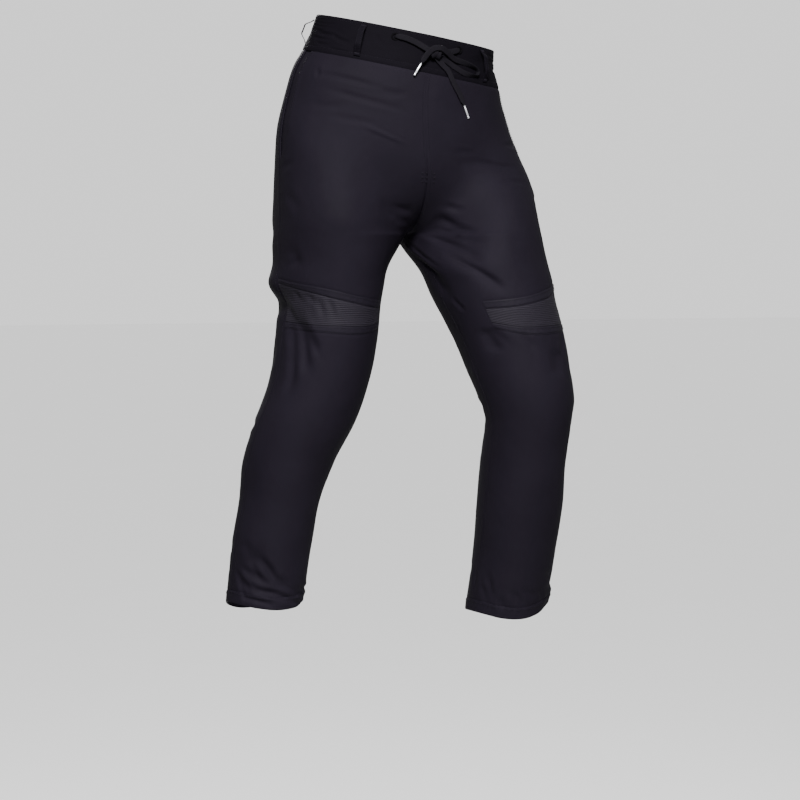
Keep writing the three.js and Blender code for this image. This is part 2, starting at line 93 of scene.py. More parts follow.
def add_camera():
    """The photograph's view: from the wearer's right of straight ahead, level with the hips."""
    data = bpy.data.cameras.new("camera")
    data.sensor_width = 36
    data.lens = VIEW_LENS
    camera = bpy.data.objects.new("camera", data)
    bpy.context.scene.collection.objects.link(camera)
    azimuth = math.radians(VIEW_AZIMUTH)
    back = Vector((math.sin(azimuth), -math.cos(azimuth), 0))
    right = Vector((math.cos(azimuth), math.sin(azimuth), 0))
    target = right * VIEW_SIDE
    camera.location = back * VIEW_DISTANCE + target
    camera.location.z = VIEW_HEIGHT
    target.z = VIEW_AIM_HEIGHT
    camera.rotation_mode = "QUATERNION"
    camera.rotation_quaternion = (target - camera.location).to_track_quat("-Z", "Y")
    bpy.context.scene.camera = camera


# Tables with named columns

def smooth(s):
    c = np.clip(s, 0, 1)
    return c * c * (3 - 2 * c)


def mix(a, b, s):
    return a + (b - a) * s


def grids(a, b):
    """Two arrays of numbers of one shape."""
    return np.broadcast_arrays(np.asarray(a, float), np.asarray(b, float))


def smooth_track(knots, values):
    """A smooth function through a column of a table."""
    count = len(knots)
    before = np.maximum(np.arange(count) - 1, 0)
    after = np.minimum(np.arange(count) + 1, count - 1)
    slopes = (values[after] - values[before]) / (knots[after] - knots[before])

    def at(x):
        x = np.clip(x, knots[0], knots[-1])
        i = np.clip(np.searchsorted(knots, x, side="right") - 1, 0, count - 2)
        span = knots[i + 1] - knots[i]
        s = (x - knots[i]) / span
        here, there = slopes[i] * span, slopes[i + 1] * span
        rise = values[i + 1] - values[i]
        return values[i] + s * (here + s * (3 * rise - 2 * here - there + s * (here + there - 2 * rise)))

    return at


class Table:
    """Rows as smooth functions of their first column."""

    def __init__(self, columns, rows):
        data = np.array(rows, float)
        self.track = {name: smooth_track(data[:, 0], data[:, k + 1]) for k, name in enumerate(columns[1:])}

    def __getitem__(self, name):
        return self.track[name]


HIPS = Table(("drop", "left", "half", "front", "back"), [
    (-26, 6, 131, 98, 100),
    (0, 1, 134, 102, 106),
    (28, -1, 144.5, 108, 116),
    (50, -5, 153, 111, 124),
    (70, -6.5, 159.5, 112, 130),
    (128, -6, 176, 115, 145),
    (186, -1, 184, 114, 149),
    (236, 3, 189, 110, 142),
    (300, 3, 190, 106, 132),
])
LEG_COLUMNS = ("drop", "out", "forward", "outer", "inner", "front", "back", "turned")
RIGHT_LEG = Table(LEG_COLUMNS, [
    (90, 100, 6, 84, 100, 108, 146, 0),
    (240, 106, 6, 80, 96, 106, 138, -2),
    (272, 108, 5, 80, 84, 103, 128, -3),
    (302, 109, 5, 79, 76, 99, 115, -5),
    (331, 113, 5, 78, 74, 94, 106, -7),
    (359, 114, 7, 69, 70, 89, 99, -8),
    (416, 119, 9, 69, 70, 81, 88, -10),
    (473, 129, 8, 69, 70, 76, 80, -10),
    (530, 148, 2, 72, 71, 72, 76, -10),
    (588, 169, -8, 65, 64, 65, 77, -10),
    (645, 180, -17, 57, 55, 59, 70, -10),
    (702, 189, -24, 57, 57, 58, 62, -10),
    (800, 200, -33, 55, 53, 56, 58, -10),
])
LEFT_LEG = Table(LEG_COLUMNS, [
    (90, 92, 10, 92, 94, 108, 150, 0),
    (240, 94, 42, 88, 92, 106, 148, 2),
    (272, 95, 53, 90, 88, 105, 132, 3),
    (302, 97, 63, 92, 86, 104, 120, 5),
    (331, 105, 73, 88, 84, 101, 112, 7),
    (359, 110, 83, 83, 80, 97, 105, 8),
    (416, 125, 103, 75, 73, 87, 94, 10),
    (472, 136, 123, 69, 67, 76, 83, 10),
    (500, 141, 129, 66, 63, 71, 78, 10),
    (529, 143, 130, 60, 57, 66, 75, 10),
    (586, 142, 118, 58, 56, 62, 77, 10),
    (645, 143, 103, 60, 57, 63, 74, 10),
    (733, 142, 77, 60, 55, 61, 64, 10),
    (820, 137, 51, 59, 54, 58, 58, 10),
])
KNEE_LINES = Table(("turn", "trim_top", "top", "bottom", "trim_bottom"), [
    (0.12, 358, 369, 388, 396),
    (0.2, 354.5, 366, 394, 404),
    (0.26, 350, 361, 394, 405),
    (0.32, 343, 355, 393, 403),
    (0.38, 337, 347.5, 392, 401),
    (0.44, 332, 340, 390, 399),
    (0.5, 327, 333, 388, 396),
])

FOLD_COLUMNS = ("turn", "drop", "to_turn", "to_drop", "width", "depth", "bend")
# The large folds are also in the solids; the rest are finer. A depth below zero is a ridge
LEFT_FOLDS = [
    (0.05, 246, 0.19, 277, 11, 4.5, 0),
    (0.09, 265, 0.17, 299, 11, 4.5, 0),
    (0.1, 290, 0.18, 341, 12, 4, 0),
    (-0.02, 295, 0.02, 355, 12, 4, 0),
    (0.1, 156, 0.31, 165, 11, 2.5, 0),
    (0.09, 398, 0.1, 428, 11, 4, 0),
    (0.3, 428, 0.28, 462, 11, 3, 0),
    (0.62, 508, 0.9, 522, 12, 5, 0),
    (0.6, 545, 0.88, 540, 12, 5, 0),
    (0.43, 772, 0.44, 804, 16, -5, 0),
    (0.56, 262, 0.8, 290, 13, 4, 0),
    (0.04, 237, 0.14, 249, 5, 1.5, 3),
    (0.06, 145, 0.165, 141, 5, 0.9, -2),
    (0.115, 172, 0.275, 174, 4.5, 0.8, 3),
    (0.055, 252, 0.15, 262, 4, 1.0, 2),
    (0.12, 315, 0.2, 352, 5, 1.1, -3),
    (0.98, 300, 0.03, 330, 4.5, 1.2, 3),
    (0.05, 222, 0.145, 232, 3.6, 1.7, 1),
    (0.05, 238, 0.2, 266, 3.6, 2.1, 1.5),
    (0.05, 256, 0.165, 290, 4.2, 2.0, 1.5),
    (0.09, 292, 0.205, 345, 4.4, 1.8, -1.5),
    (0.0, 262, 0.05, 318, 5, 1.8, 2),
    (0.03, 350, 0.06, 376, 4, 1.6, 1),
    (0.19, 398, 0.23, 432, 5, 1.2, 2),
    (0.1, 392, 0.15, 425, 5, 1.0, -2),
    (0.36, 398, 0.33, 440, 4.5, 1.6, 2),
    (0.39, 210, 0.48, 222, 4, 1.2, 1),
    (0.15, 152, 0.33, 160, 3.8, 1.4, 2),
    (0.2, 186, 0.37, 188, 4, 1.3, -2),
    (0.26, 120, 0.42, 112, 4, 1.2, 2),
    (0.475, 779, 0.48, 802, 6.5, -4.6, 0),
    (0.44, 792, 0.5, 776, 4, 1.6, 1),
    (0.05, 742, 0.11, 792, 4.4, 1.8, 2),
    (0.16, 772, 0.24, 800, 4.4, 1.6, -2),
    (0.3, 768, 0.36, 796, 4.4, 1.3, 2),
    (0.98, 451, 0.97, 466, 5, -1.2, 0),
    (0.98, 741, 0.005, 783, 5, 1.3, 2),
    (0.02, 763, 0.085, 797, 5, 1.6, -2),
    (0.125, 780, 0.165, 803, 5, 1.6, 2),
    (0.2, 768, 0.29, 783, 5, 1.2, 3),
    (0.3, 752, 0.4, 764, 6, 1.4, -3),
    (0.42, 735, 0.5, 756, 6, 1.5, 3),
    (0.44, 420, 0.4, 470, 7, 1.3, 3),
    (0.47, 470, 0.42, 520, 7, 1.4, -3),
    (0.5, 300, 0.43, 318, 6, 1.1, 3),
    (0.48, 200, 0.4, 236, 8, 1.3, 4),
    (0.42, 62, 0.37, 90, 6, 0.9, 2),
]
RIGHT_FOLDS = [
    (0.03, 232, 0.16, 229, 11, 2.5, 0),
    (0.49, 369, 0.4, 452, 11, 4.5, 0),
    (0.45, 386, 0.37, 430, 10, 3.5, 0),
    (0.49, 366, 0.63, 369, 11, 6, 0),
    (0.5, 337, 0.62, 335, 14, -4, 0),
    (0.62, 515, 0.9, 528, 12, 4.5, 0),
    (0.6, 552, 0.88, 548, 12, 4.5, 0),
    (0.42, 716, 0.3, 750, 11, 4, 0),
    (0.42, 748, 0.24, 770, 11, 3.5, 0),
    (0.56, 262, 0.8, 288, 13, 4, 0),
    (0.15, 239, 0.055, 243, 4.5, 1.2, 2),
    (0.185, 115, 0.04, 139, 2.8, -1.1, 1),
    (0.14, 65, 0.045, 63, 4.5, 0.8, -2),
    (0.365, 49, 0.335, 63, 4, 1.1, 0),
    (0.47, 358, 0.37, 462, 5.2, 2.5, 1.5),
    (0.45, 362, 0.335, 448, 5, 2.2, -1.5),
    (0.49, 372, 0.415, 500, 5.4, 2.1, 2),
    (0.5, 350, 0.43, 404, 5, 1.6, -2),
    (0.355, 346, 0.31, 392, 4.6, 1.5, 1),
    (0.39, 58, 0.1, 63, 3.6, 1.0, 3),
    (0.35, 74, 0.02, 91, 3.8, 0.9, 2),
    (0.38, 97, 0.21, 93, 4, 0.7, -2),
    (0.29, 110, 0.1, 115, 4, 0.6, 2),
    (0.12, 228, 0.02, 236, 4, 1.4, 1),
    (0.13, 246, 0.03, 250, 4, 1.3, 1),
    (0.42, 168, 0.49, 176, 4, 1.2, 1),
    (0.41, 300, 0.47, 312, 4.5, 1.2, -1),
    (0.47, 733, 0.31, 766, 4.2, 2.4, 2),
    (0.49, 757, 0.14, 790, 4, 2.6, 2),
    (0.32, 756, 0.04, 790, 4, 2.2, -2),
    (0.49, 738, 0.38, 784, 4, 2.2, 2),
    (0.385, 716, 0.27, 764, 4.6, 2.6, 1),
    (0.42, 770, 0.27, 776, 3.6, 1.8, 1),
    (0.2, 770, 0.02, 776, 3.6, 1.8, 1),
    (0.44, 341, 0.435, 360, 4, 1.2, 0),
    (0.4, 347, 0.39, 362, 4, 1.2, 0),
    (0.38, 352, 0.35, 384, 5, 1.5, 2),
    (0.43, 400, 0.36, 470, 6, 1.4, -4),
    (0.47, 420, 0.43, 500, 7, 1.4, 4),
    (0.33, 748, 0.21, 768, 5, 1.6, 2),
    (0.395, 769, 0.15, 783, 5, 1.6, -3),
    (0.2, 752, 0.11, 776, 5, 1.3, 3),
    (0.08, 748, 0.0, 770, 5, 1.3, -3),
    (0.47, 700, 0.41, 722, 6, 1.3, 3),
    (0.06, 280, 0.0, 322, 7, 1.3, 4),
    (0.48, 205, 0.41, 240, 8, 1.2, 4),
    (0.46, 280, 0.42, 318, 7, 1.3, 3),
    (0.48, 745, 0.4, 790, 3.4, 2.0, 1),
    (0.46, 777, 0.26, 792, 3.4, 2.0, 1),
    (0.27, 783, 0.05, 796, 3.4, 1.8, -1),
    (0.24, 762, 0.05, 781, 3.6, 1.6, 2),
    (0.42, 729, 0.35, 756, 3.8, 1.8, 1),
]
# Folds of the hidden sides, on both legs: behind the knees, under the seat and behind the ankles
BACK_FOLDS = [
    (0.58, 488, 0.78, 500, 7, 2.4, 4),
    (0.7, 532, 0.93, 527, 6, 2.2, -4),
    (0.6, 566, 0.8, 572, 7, 2.0, 4),
    (0.72, 582, 0.9, 574, 6, 1.6, -3),
    (0.64, 470, 0.86, 480, 8, 1.6, 5),
    (0.8, 498, 0.95, 508, 5, 1.6, 3),
    (0.54, 528, 0.64, 540, 5, 1.6, 3),
    (0.62, 300, 0.84, 322, 8, 1.8, 6),
    (0.72, 270, 0.93, 256, 7, 1.6, 5),
    (0.66, 330, 0.86, 352, 7, 1.2, -5),
    (0.8, 225, 0.94, 240, 7, 1.5, 5),
    (0.62, 215, 0.78, 238, 9, 1.2, 6),
    (0.6, 80, 0.75, 92, 8, 1.0, 4),
    (0.8, 96, 0.94, 84, 8, 1.0, 4),
    (0.56, 742, 0.72, 755, 6, 1.9, 3),
    (0.68, 770, 0.88, 762, 6, 1.8, -3),
    (0.76, 738, 0.93, 748, 6, 1.5, 3),
    (0.55, 715, 0.68, 724, 6, 1.3, -3),
    (0.72, 715, 0.9, 708, 7, 1.2, 3),
    (0.66, 640, 0.74, 690, 9, 1.2, 5),
    (0.82, 600, 0.86, 660, 9, 1.1, -4),
    (0.56, 410, 0.6, 462, 9, 1.2, 4),
    (0.9, 400, 0.86, 455, 9, 1.1, 4),
]

SIDES = {
    "R": {"sign": -1, "leg": RIGHT_LEG, "folds": RIGHT_FOLDS + BACK_FOLDS, "hem": 790, "hem_rise": 0,
          "sag": (8, 20)},
    "L": {"sign": 1, "leg": LEFT_LEG, "folds": LEFT_FOLDS + BACK_FOLDS, "hem": 808, "hem_rise": 10,
          "sag": (13, 10)},
}


# The trousers' surface, from where a point lies on a side: its turn round the body and its drop

def hip_point(side, turn, drop):
    angle = np.pi * turn
    depth = mix(HIPS["front"](drop), HIPS["back"](drop), smooth((turn - 0.25) / 0.5))
    return side["sign"] * HIPS["left"](drop) + HIPS["half"](drop) * np.sin(angle), depth * np.cos(angle)


def leg_point(side, turn, drop):
    leg = side["leg"]
    angle = 2 * np.pi * turn
    width = mix(leg["inner"](drop), leg["outer"](drop), (1 - np.cos(angle)) / 2)
    depth = mix(leg["back"](drop), leg["front"](drop), (1 + np.sin(angle)) / 2)
    across, along = -np.cos(angle) * width, np.sin(angle) * depth
    turned = np.radians(leg["turned"](drop))
    return (
        leg["out"](drop) + across * np.cos(turned) + along * np.sin(turned),
        leg["forward"](drop) - across * np.sin(turned) + along * np.cos(turned),
    )


def leg_share(turn, drop):
    from_seam = np.minimum(turn, 1 - turn)
    curve = np.clip((drop - SEAT_CURVE_START) / (CROTCH_DROP - SEAT_CURVE_START), 0, 1)
    at_seam = 1 - np.sqrt(1 - curve * curve)
    return mix(at_seam, smooth((drop - 90) / 170), smooth(from_seam / 0.3))


def blend_point(side, turn, drop):
    share = leg_share(turn, drop)
    hip, leg = hip_point(side, turn, drop), leg_point(side, turn, drop)
    return mix(hip[0], leg[0], share), mix(hip[1], leg[1], share)


def centre_seam(side, turn, drop):
    share = leg_share(np.zeros_like(drop), drop)
    depth = np.where(turn < 0.5, HIPS["front"](drop), -HIPS["back"](drop))
    return mix(side["sign"] * HIPS["left"](drop), 0, share) + HALF_GAP, mix(depth, CROTCH_FORWARD, share)


def place(x, y, drop):
    lean = 1 - smooth((drop - WAIST_DROP) / (LEAN_END_DROP - WAIST_DROP))
    return np.stack([x, y, -drop + lean * (y * LEAN_FRONT - x * LEAN_LEFT)], -1)


def body_surface(side, turn, drop):
    turn, drop = grids(turn, drop)
    out, forward = blend_point(side, turn, drop)
    height = np.minimum(drop, CROTCH_DROP)
    seam = centre_seam(side, turn, height)
    edge = blend_point(side, np.where(turn < 0.5, 0.0, 1.0), height)
    near = 1 - smooth(np.minimum(turn, 1 - turn) / 0.26)
    pull = near * (1 - smooth((drop - CROTCH_DROP) / 60))
    out = out + pull * (seam[0] - edge[0])
    forward = forward + pull * (seam[1] - edge[1])
    return place(side["sign"] * out, -forward, drop)


def unit(v):
    return v / np.maximum(np.linalg.norm(v, axis=-1, keepdims=True), 1e-9)


def body_normal(side, turn, drop):
    turn, drop = grids(turn, drop)
    on_centre = (drop <= CROTCH_DROP) & ((turn < 1e-6) | (turn > 1 - 1e-6))
    below = drop > CROTCH_DROP
    reach = 0.004
    ahead = np.where(below, (turn + reach) % 1, np.clip(turn + reach, 0, 1))
    behind = np.where(below, (turn - reach) % 1, np.clip(turn - reach, 0, 1))
    across = body_surface(side, ahead, drop) - body_surface(side, behind, drop)
    room = np.minimum(2, np.abs(drop - CROTCH_DROP) + 0.2)
    step = np.where(on_centre, np.minimum(room, CROTCH_DROP - drop), 2)
    down = body_surface(side, turn, drop + step) - body_surface(side, turn, drop - 2)
    normal = np.cross(down, across) * side["sign"]
    normal[..., 0] = np.where(on_centre, 0, normal[..., 0])
    under = on_centre & (drop > CROTCH_DROP - 0.5)
    normal = np.where(under[..., None], np.array([0, 0, -1.0]), normal)
    return unit(normal)


def relief(side, turn, drop):
    """Height of the folds: soft troughs with low shoulders, or ridges."""
    girth = mix(*FOLD_GIRTHS, smooth((drop - CROTCH_DROP) / 240))
    height = np.zeros(np.broadcast(turn, drop).shape)
    for fold in side["folds"]:
        row = dict(zip(FOLD_COLUMNS, fold))
        across = turn - row["turn"]
        across = np.where((drop > CROTCH_DROP) & (across > 0.5), across - 1, across)
        across = np.where((drop > CROTCH_DROP) & (across < -0.6), across + 1, across)
        to = row["to_turn"] - row["turn"]
        to = to - 1 if to > 0.6 else to + 1 if to < -0.6 else to
        run, fall = to * girth, row["to_drop"] - row["drop"]
        length = np.sqrt(run * run + fall * fall)
        along = (across * girth * run + (drop - row["drop"]) * fall) / length ** 2
        nearest = np.clip(along, 0, 1)
        aside = (across * girth * fall - (drop - row["drop"]) * run) / length
        aside = aside + row["bend"] * 4 * nearest * (1 - nearest)
        away = np.hypot(aside, (along - nearest) * length) / row["width"]
        beyond = 0.15 if row["width"] > 9 else 0
        ends = smooth((np.minimum(along, 1 - along) + beyond) / 0.4)
        profile = np.exp(-away ** 2)
        if row["width"] < 10:
            profile = profile - 0.3 * np.exp(-((away - 1.9) / 0.8) ** 2)
        height = height - row["depth"] * profile * ends
    at_centre = 1 - smooth((drop - CROTCH_DROP - 6) / 28)
    return height * mix(1, smooth(np.minimum(turn, 1 - turn) / 0.05), at_centre)


LATTICE = np.random.default_rng(7).uniform(-1, 1, (4, 24, 24, 24))


def wobble(points, size, layer=0):
    """Smooth unevenness in space, from -1 to 1, with lumps of about this size."""
    p = points / size + 100.5
    base = np.floor(p).astype(int)
    f = smooth(p - base)
    total = 0
    for dx in (0, 1):
        for dy in (0, 1):
            for dz in (0, 1):
                weight = np.ones(p.shape[:-1])
                for axis, d in enumerate((dx, dy, dz)):
                    weight = weight * (f[..., axis] if d else 1 - f[..., axis])
                corner = (base + np.array([dx, dy, dz])) % 24
                total = total + weight * LATTICE[layer, corner[..., 0], corner[..., 1], corner[..., 2]]
    return total


def unevenness(points):
    """Soft dents of worn cloth over a body, and finer rumples."""
    broad = 1.1 * wobble(points, 62) + 0.5 * wobble(points * np.array([1, 1, 0.6]), 27, 1)
    return broad + 0.16 * wobble(points, 9.5, 2)


def cloth(side, turn, drop, lift=0.0):
    """Points of the worn cloth and their outward directions."""
    turn, drop = grids(turn, drop)
    base = body_surface(side, turn, drop)
    normal = body_normal(side, turn, drop)
    # The normal turns softly past the crotch's height, where the legs part
    mean = unit(body_normal(side, turn, drop - 9) + body_normal(side, turn, drop + 9))
    near = np.exp(-((drop - CROTCH_DROP) / 13) ** 2) * smooth((np.minimum(turn, 1 - turn) - 0.03) / 0.04)
    normal = unit(mix(normal, mean, near[..., None]))
    height = relief(side, turn, drop) + calm(turn, drop) * unevenness(base) + lift
    return base + normal * height[..., None], normal


def calm(turn, drop):
    """Unevenness dies out at the centre seam, so that both sides meet, and at the band."""
    at_centre = 1 - smooth((drop - CROTCH_DROP) / 24)
    return mix(1, smooth(np.minimum(turn, 1 - turn) / 0.04), at_centre) * smooth((drop - WAIST_DROP) / 12)


# Meshes

def new_object(name, points, faces, rides=True, smooth_angle=50):
    mesh = bpy.data.meshes.new(name)
    mesh.from_pydata((np.asarray(points) * MM).tolist(), [], faces)
    mesh.validate()
    mesh.polygons.foreach_set("use_smooth", [True] * len(mesh.polygons))
    mesh.set_sharp_from_angle(angle=math.radians(smooth_angle))
    obj = bpy.data.objects.new(name, mesh)
    bpy.context.scene.collection.objects.link(obj)
    if rides:
        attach(obj, "root")
    return obj


def set_thread(obj, values):
    """Where each point lies on its cloth: across and down in metres, and how far it stands proud, which the
    cloth's material turns into painted light and shade.
    """
    attribute = obj.data.attributes.new("thread", "FLOAT_VECTOR", "POINT")
    attribute.data.foreach_set("vector", np.asarray(values, float).ravel())


def wall(name, outer, inner, thread=None, shown=None, closed=False, flip=False):
    """A closed thin shell over a grid of points, with the cells that shown leaves out cut away."""
    rows, columns = outer.shape[:2]
    count = columns if closed else columns - 1
    i, j = np.meshgrid(np.arange(rows - 1), np.arange(count), indexing="ij")
    mask = np.ones((rows - 1, count), bool) if shown is None else shown
    here, below, right = i * columns, (i + 1) * columns, (j + 1) % columns
    corners = np.stack([here + j, here + right, below + right, below + j], -1)
    total = rows * columns
    skin = corners[mask] if flip else corners[mask][:, ::-1]
    faces = [skin, skin[:, ::-1] + total]
    pad = np.zeros((rows + 1, count + 2), bool)
    pad[1:-1, 1:-1] = mask
    if closed:
        pad[1:-1, 0], pad[1:-1, -1] = mask[:, -1], mask[:, 0]
    for edge, (di, dj) in enumerate(((-1, 0), (0, 1), (1, 0), (0, -1))):
        beside = pad[1 + di:rows + di, 1 + dj:count + 1 + dj]
        bare = mask & ~beside
        start, end = corners[..., edge][bare], corners[..., (edge + 1) % 4][bare]
        u, v = (start, end) if flip else (end, start)
        faces.append(np.stack([v, u, u + total, v + total], -1))
    faces = np.concatenate(faces)
    points = np.concatenate([outer.reshape(-1, 3), inner.reshape(-1, 3)])
    used = np.unique(faces)
    index = np.full(len(points), -1)
    index[used] = np.arange(len(used))
    obj = new_object(name, points[used], index[faces].tolist())
    if thread is not None:
        both = np.concatenate([thread.reshape(-1, 3), thread.reshape(-1, 3)])
        set_thread(obj, both[used])
    return obj


def arc_lengths(points, axis):
    steps = np.linalg.norm(np.diff(points, axis=axis), axis=-1)
    start = np.zeros_like(np.take(steps, [0], axis))
    return np.concatenate([start, np.cumsum(steps, axis)], axis)


def seam_form(distance, along):
    """Height near a sewn edge: it dips into the seam, and swells and puckers beside it."""
    dip = -0.5 * np.exp(-(distance / 1.2) ** 2)
    swell = 0.2 * np.exp(-((distance - 4) / 2.4) ** 2)
    wave = np.sin(along / 1.35 + 2.1 * np.sin(along / 19))
    pucker = 0.16 * np.exp(-np.abs(distance - 4) / 4) * wave * (0.6 + 0.4 * np.sin(along / 31))
    return dip + swell + pucker


def declare_sheet(base, shown=None, closed=False):
    """Works out a piece's cells and the size of its cut, taken from the smooth surface under it in mm;
    nothing uses them.
    """
    if closed:
        base = np.concatenate([base, base[:, :1]], 1)
    across, down = np.diff(base, axis=1)[:-1], np.diff(base, axis=0)[:, :-1]
    cells = np.linalg.norm(np.cross(across, down), axis=-1)
    cells = cells if shown is None else cells * shown
    width = arc_lengths(base, 1)[:, -1].max() * MM
    length = arc_lengths(base, 0)[-1].max() * MM


def cloth_piece(kind, key, outer, normal, laid, base, thick=CLOTH, shown=None, closed=False):
    """Makes a piece and works out the size of its cut; laid is where its points lie on it, across and down,
    and their height.
    """
    thread = np.stack([laid[0] * MM, laid[1] * MM, laid[2]], -1)
    inner = outer - normal * thick
    obj = wall(f"{kind}_cloth_{key}", outer, inner, thread, shown, closed, SIDES[key]["sign"] < 0)
    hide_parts(f"{kind}_{key}")
    declare_sheet(base, shown, closed)
    return obj


def crotch_line(turn):
    return CROTCH_DROP - CROTCH_RISE_OUTSIDE * (1 - np.cos(2 * np.pi * turn)) / 2


def pocket_line(turn):
    return mix(POCKET_END["front"], POCKET_END["side"], smooth((turn - POCKET_TURN) / (0.5 - POCKET_TURN)))


def knee_line(name, turn):
    t = np.where(turn > 0.5, 1 - turn, turn)
    return KNEE_LINES[name](np.maximum(t, KNEE_TIP))


def hem_line(side, turn):
    sag = np.where(turn < 0.5, side["sag"][0], side["sag"][1]) * np.sin(2 * np.pi * turn) ** 2
    return side["hem"] - side["hem_rise"] * (1 - np.cos(2 * np.pi * turn)) / 2 + sag


BAND_ROWS = {"hip": 48, "seat": 42, "thigh": 40, "knee": 18, "shin": 146}


def panel_rows(side, turns):
    """Drops of a main piece's rows at each turn, and each row's band."""
    edges = {
        "hip": (np.full_like(turns, WAIST_DROP + HALF_GAP), pocket_line(turns)),
        "seat": (pocket_line(turns), crotch_line(turns)),
        "thigh": (crotch_line(turns), knee_line("trim_top", turns) - HALF_GAP),
        "knee": (knee_line("trim_top", turns) - HALF_GAP, knee_line("trim_bottom", turns) + HALF_GAP),
        "shin": (knee_line("trim_bottom", turns) + HALF_GAP, hem_line(side, turns) - HEM_HEIGHT - HALF_GAP),
    }
    near_seam = 1 - smooth(np.minimum(turns, 1 - turns) / 0.25)
    drops, names = [edges["hip"][0]], []
    for name, count in BAND_ROWS.items():
        start, end = edges[name]
        for k in range(1, count + 1):
            s = k / count
            eased = mix(s, math.sin(s * math.pi / 2), near_seam) if name == "seat" else s
            drops.append(mix(start, end, eased))
            names.append(name)
    return np.array(drops), np.array(names)


def spaced(*stops):
    """Turns between stops, each given with the number of columns up to it."""
    turns = [stops[0]]
    for stop, count in stops[1:]:
        turns.extend(np.linspace(turns[-1], stop, count + 1)[1:])
    return np.array(turns)


def main_piece(key, front):
    side = SIDES[key]
    turns = spaced(0.0, (KNEE_TIP, 24), (POCKET_TURN, 64), (0.5, 12)) if front else spaced(0.5, (1.0, 100))
    drops, names = panel_rows(side, turns)
    grid = np.broadcast_to(turns, drops.shape).copy()
    tip = int(np.argmin(np.abs(turns - KNEE_TIP)))
    mouth = int(np.argmin(np.abs(turns - POCKET_TURN)))
    if front:
        inside = np.concatenate([[False], (names[:-1] == "knee") & (names[1:] == "knee"), [False]])
        grid[inside, tip] = KNEE_TIP - 0.0004
    base = body_surface(side, grid, drops)
    across, down = arc_lengths(base, 1), arc_lengths(base, 0)
    lift = seam_form(down, across)
    # The centre seam is pressed flat above the fly's stitching
    pressed = mix(0.12, 1, smooth((drops - 138) / 25))
    first_edge, last_edge = seam_form(across, down), seam_form(across[:, -1:] - across, down)
    inseam = np.where(drops > CROTCH_DROP, 0.5, pressed if front else 1)
    lift += first_edge * (inseam if front else 1) + last_edge * (1 if front else inseam)
    lift += 0.6 * seam_form(down[-1:] - down, across)
    shown = np.ones((len(names), len(turns) - 1), bool)
    if front:
        columns = np.arange(len(turns) - 1)
        shown[(names == "knee")[:, None] & (columns >= tip)] = False
        shown[(names == "hip")[:, None] & (columns >= mouth)] = False
        beyond = grid >= KNEE_TIP
        for line in (knee_line("trim_top", grid) - HALF_GAP, knee_line("trim_bottom", grid) + HALF_GAP):
            lift += np.where(beyond, 0.7 * seam_form(np.abs(drops - line), across), 0)
        beside = np.abs(grid - POCKET_TURN) * HIP_GIRTH
        in_mouth = (drops < pocket_line(grid)) & (grid <= POCKET_TURN + 1e-6)
        lift += np.where(in_mouth, pocket_gape(beside, drops), 0)
    outer, normal = cloth(side, grid, drops, lift)
    edge = (grid < 1e-6) | (grid > 1 - 1e-6) | (np.abs(grid - 0.5) < 1e-6)
    outer[..., 1] += np.where(edge, -HALF_GAP if front else HALF_GAP, 0)
    kind, laid = "front" if front else "back", (across, down, lift)
    return cloth_piece(kind, key, outer, normal, laid, base, shown=shown)


def pocket_gape(beside, drops):
    """The mouth's edge stands a little off the facing, most at its middle."""
    along = np.clip((drops - WAIST_DROP) / (POCKET_END["front"] - WAIST_DROP), 0, 1)
    return 1.2 * np.sin(np.pi * along) * np.exp(-(beside / 9) ** 2) - 0.5 * np.exp(-(beside / 0.9) ** 2)


def strip(kind, key, start, end, rows, form):
    """A strip of the knee insert between two of its lines; form gives its height."""
    side = SIDES[key]
    turns = spaced(KNEE_TIP + 0.0004, (POCKET_TURN, 78), (0.5, 13))
    s = np.linspace(0, 1, rows + 1)[:, None]
    drops = mix(knee_line(start, turns) + HALF_GAP, knee_line(end, turns) - HALF_GAP, s)
    grid = np.broadcast_to(turns, drops.shape)
    base = body_surface(side, grid, drops)
    across, down = arc_lengths(base, 1), arc_lengths(base, 0)
    ends = 0.3 * seam_form(across, down) + seam_form(across[:, -1:] - across, down)
    lift = form(down, down[-1:] - down, across) + ends
    outer, normal = cloth(side, grid, drops, lift)
    outer[:, -1, 1] -= HALF_GAP
    laid = (across, down - down[-1:], lift)
    return cloth_piece(kind, key, outer, normal, laid, base)


# The knee insert's ribs, and how many rows of points its strips have
RIB_PITCH = 2.6
RIB_HEIGHT = 0.6
PANEL_ROWS = 96
TRIM_ROWS = 12


def rib_form(above, below, along):
    """Ribs side by side along the panel's lower edge, flattened at its seams."""
    wave = (0.5 + 0.5 * np.cos(2 * np.pi * (below - RIB_PITCH / 2) / RIB_PITCH)) ** 0.8
    inside = smooth(np.minimum(above, below) / 1.5)
    return RIB_HEIGHT * wave * inside + seam_form(above, along) * 0.7 + seam_form(below, along) * 0.7


def trim_form(above, below, along):
    return 0.45 + 0.7 * (seam_form(above, along) + seam_form(below, along))


def pocket_facing(key):
    side = SIDES[key]
    turns = spaced(FACING_START, (POCKET_TURN, 8), (0.5, 14))
    drops = panel_rows(side, turns)[0][:BAND_ROWS["hip"] + 4]
    grid = np.broadcast_to(turns, drops.shape)
    base = body_surface(side, grid, drops)
    across, down = arc_lengths(base, 1), arc_lengths(base, 0)
    lift = -CLOTH - 0.9 + 0.3 * wobble(base, 14, 3)
    outer, normal = cloth(side, grid, drops, lift)
    outer[:, -1, 1] -= HALF_GAP
    laid = (across, down, lift * 0)
    return cloth_piece("pocket_facing", key, outer, normal, laid, base)


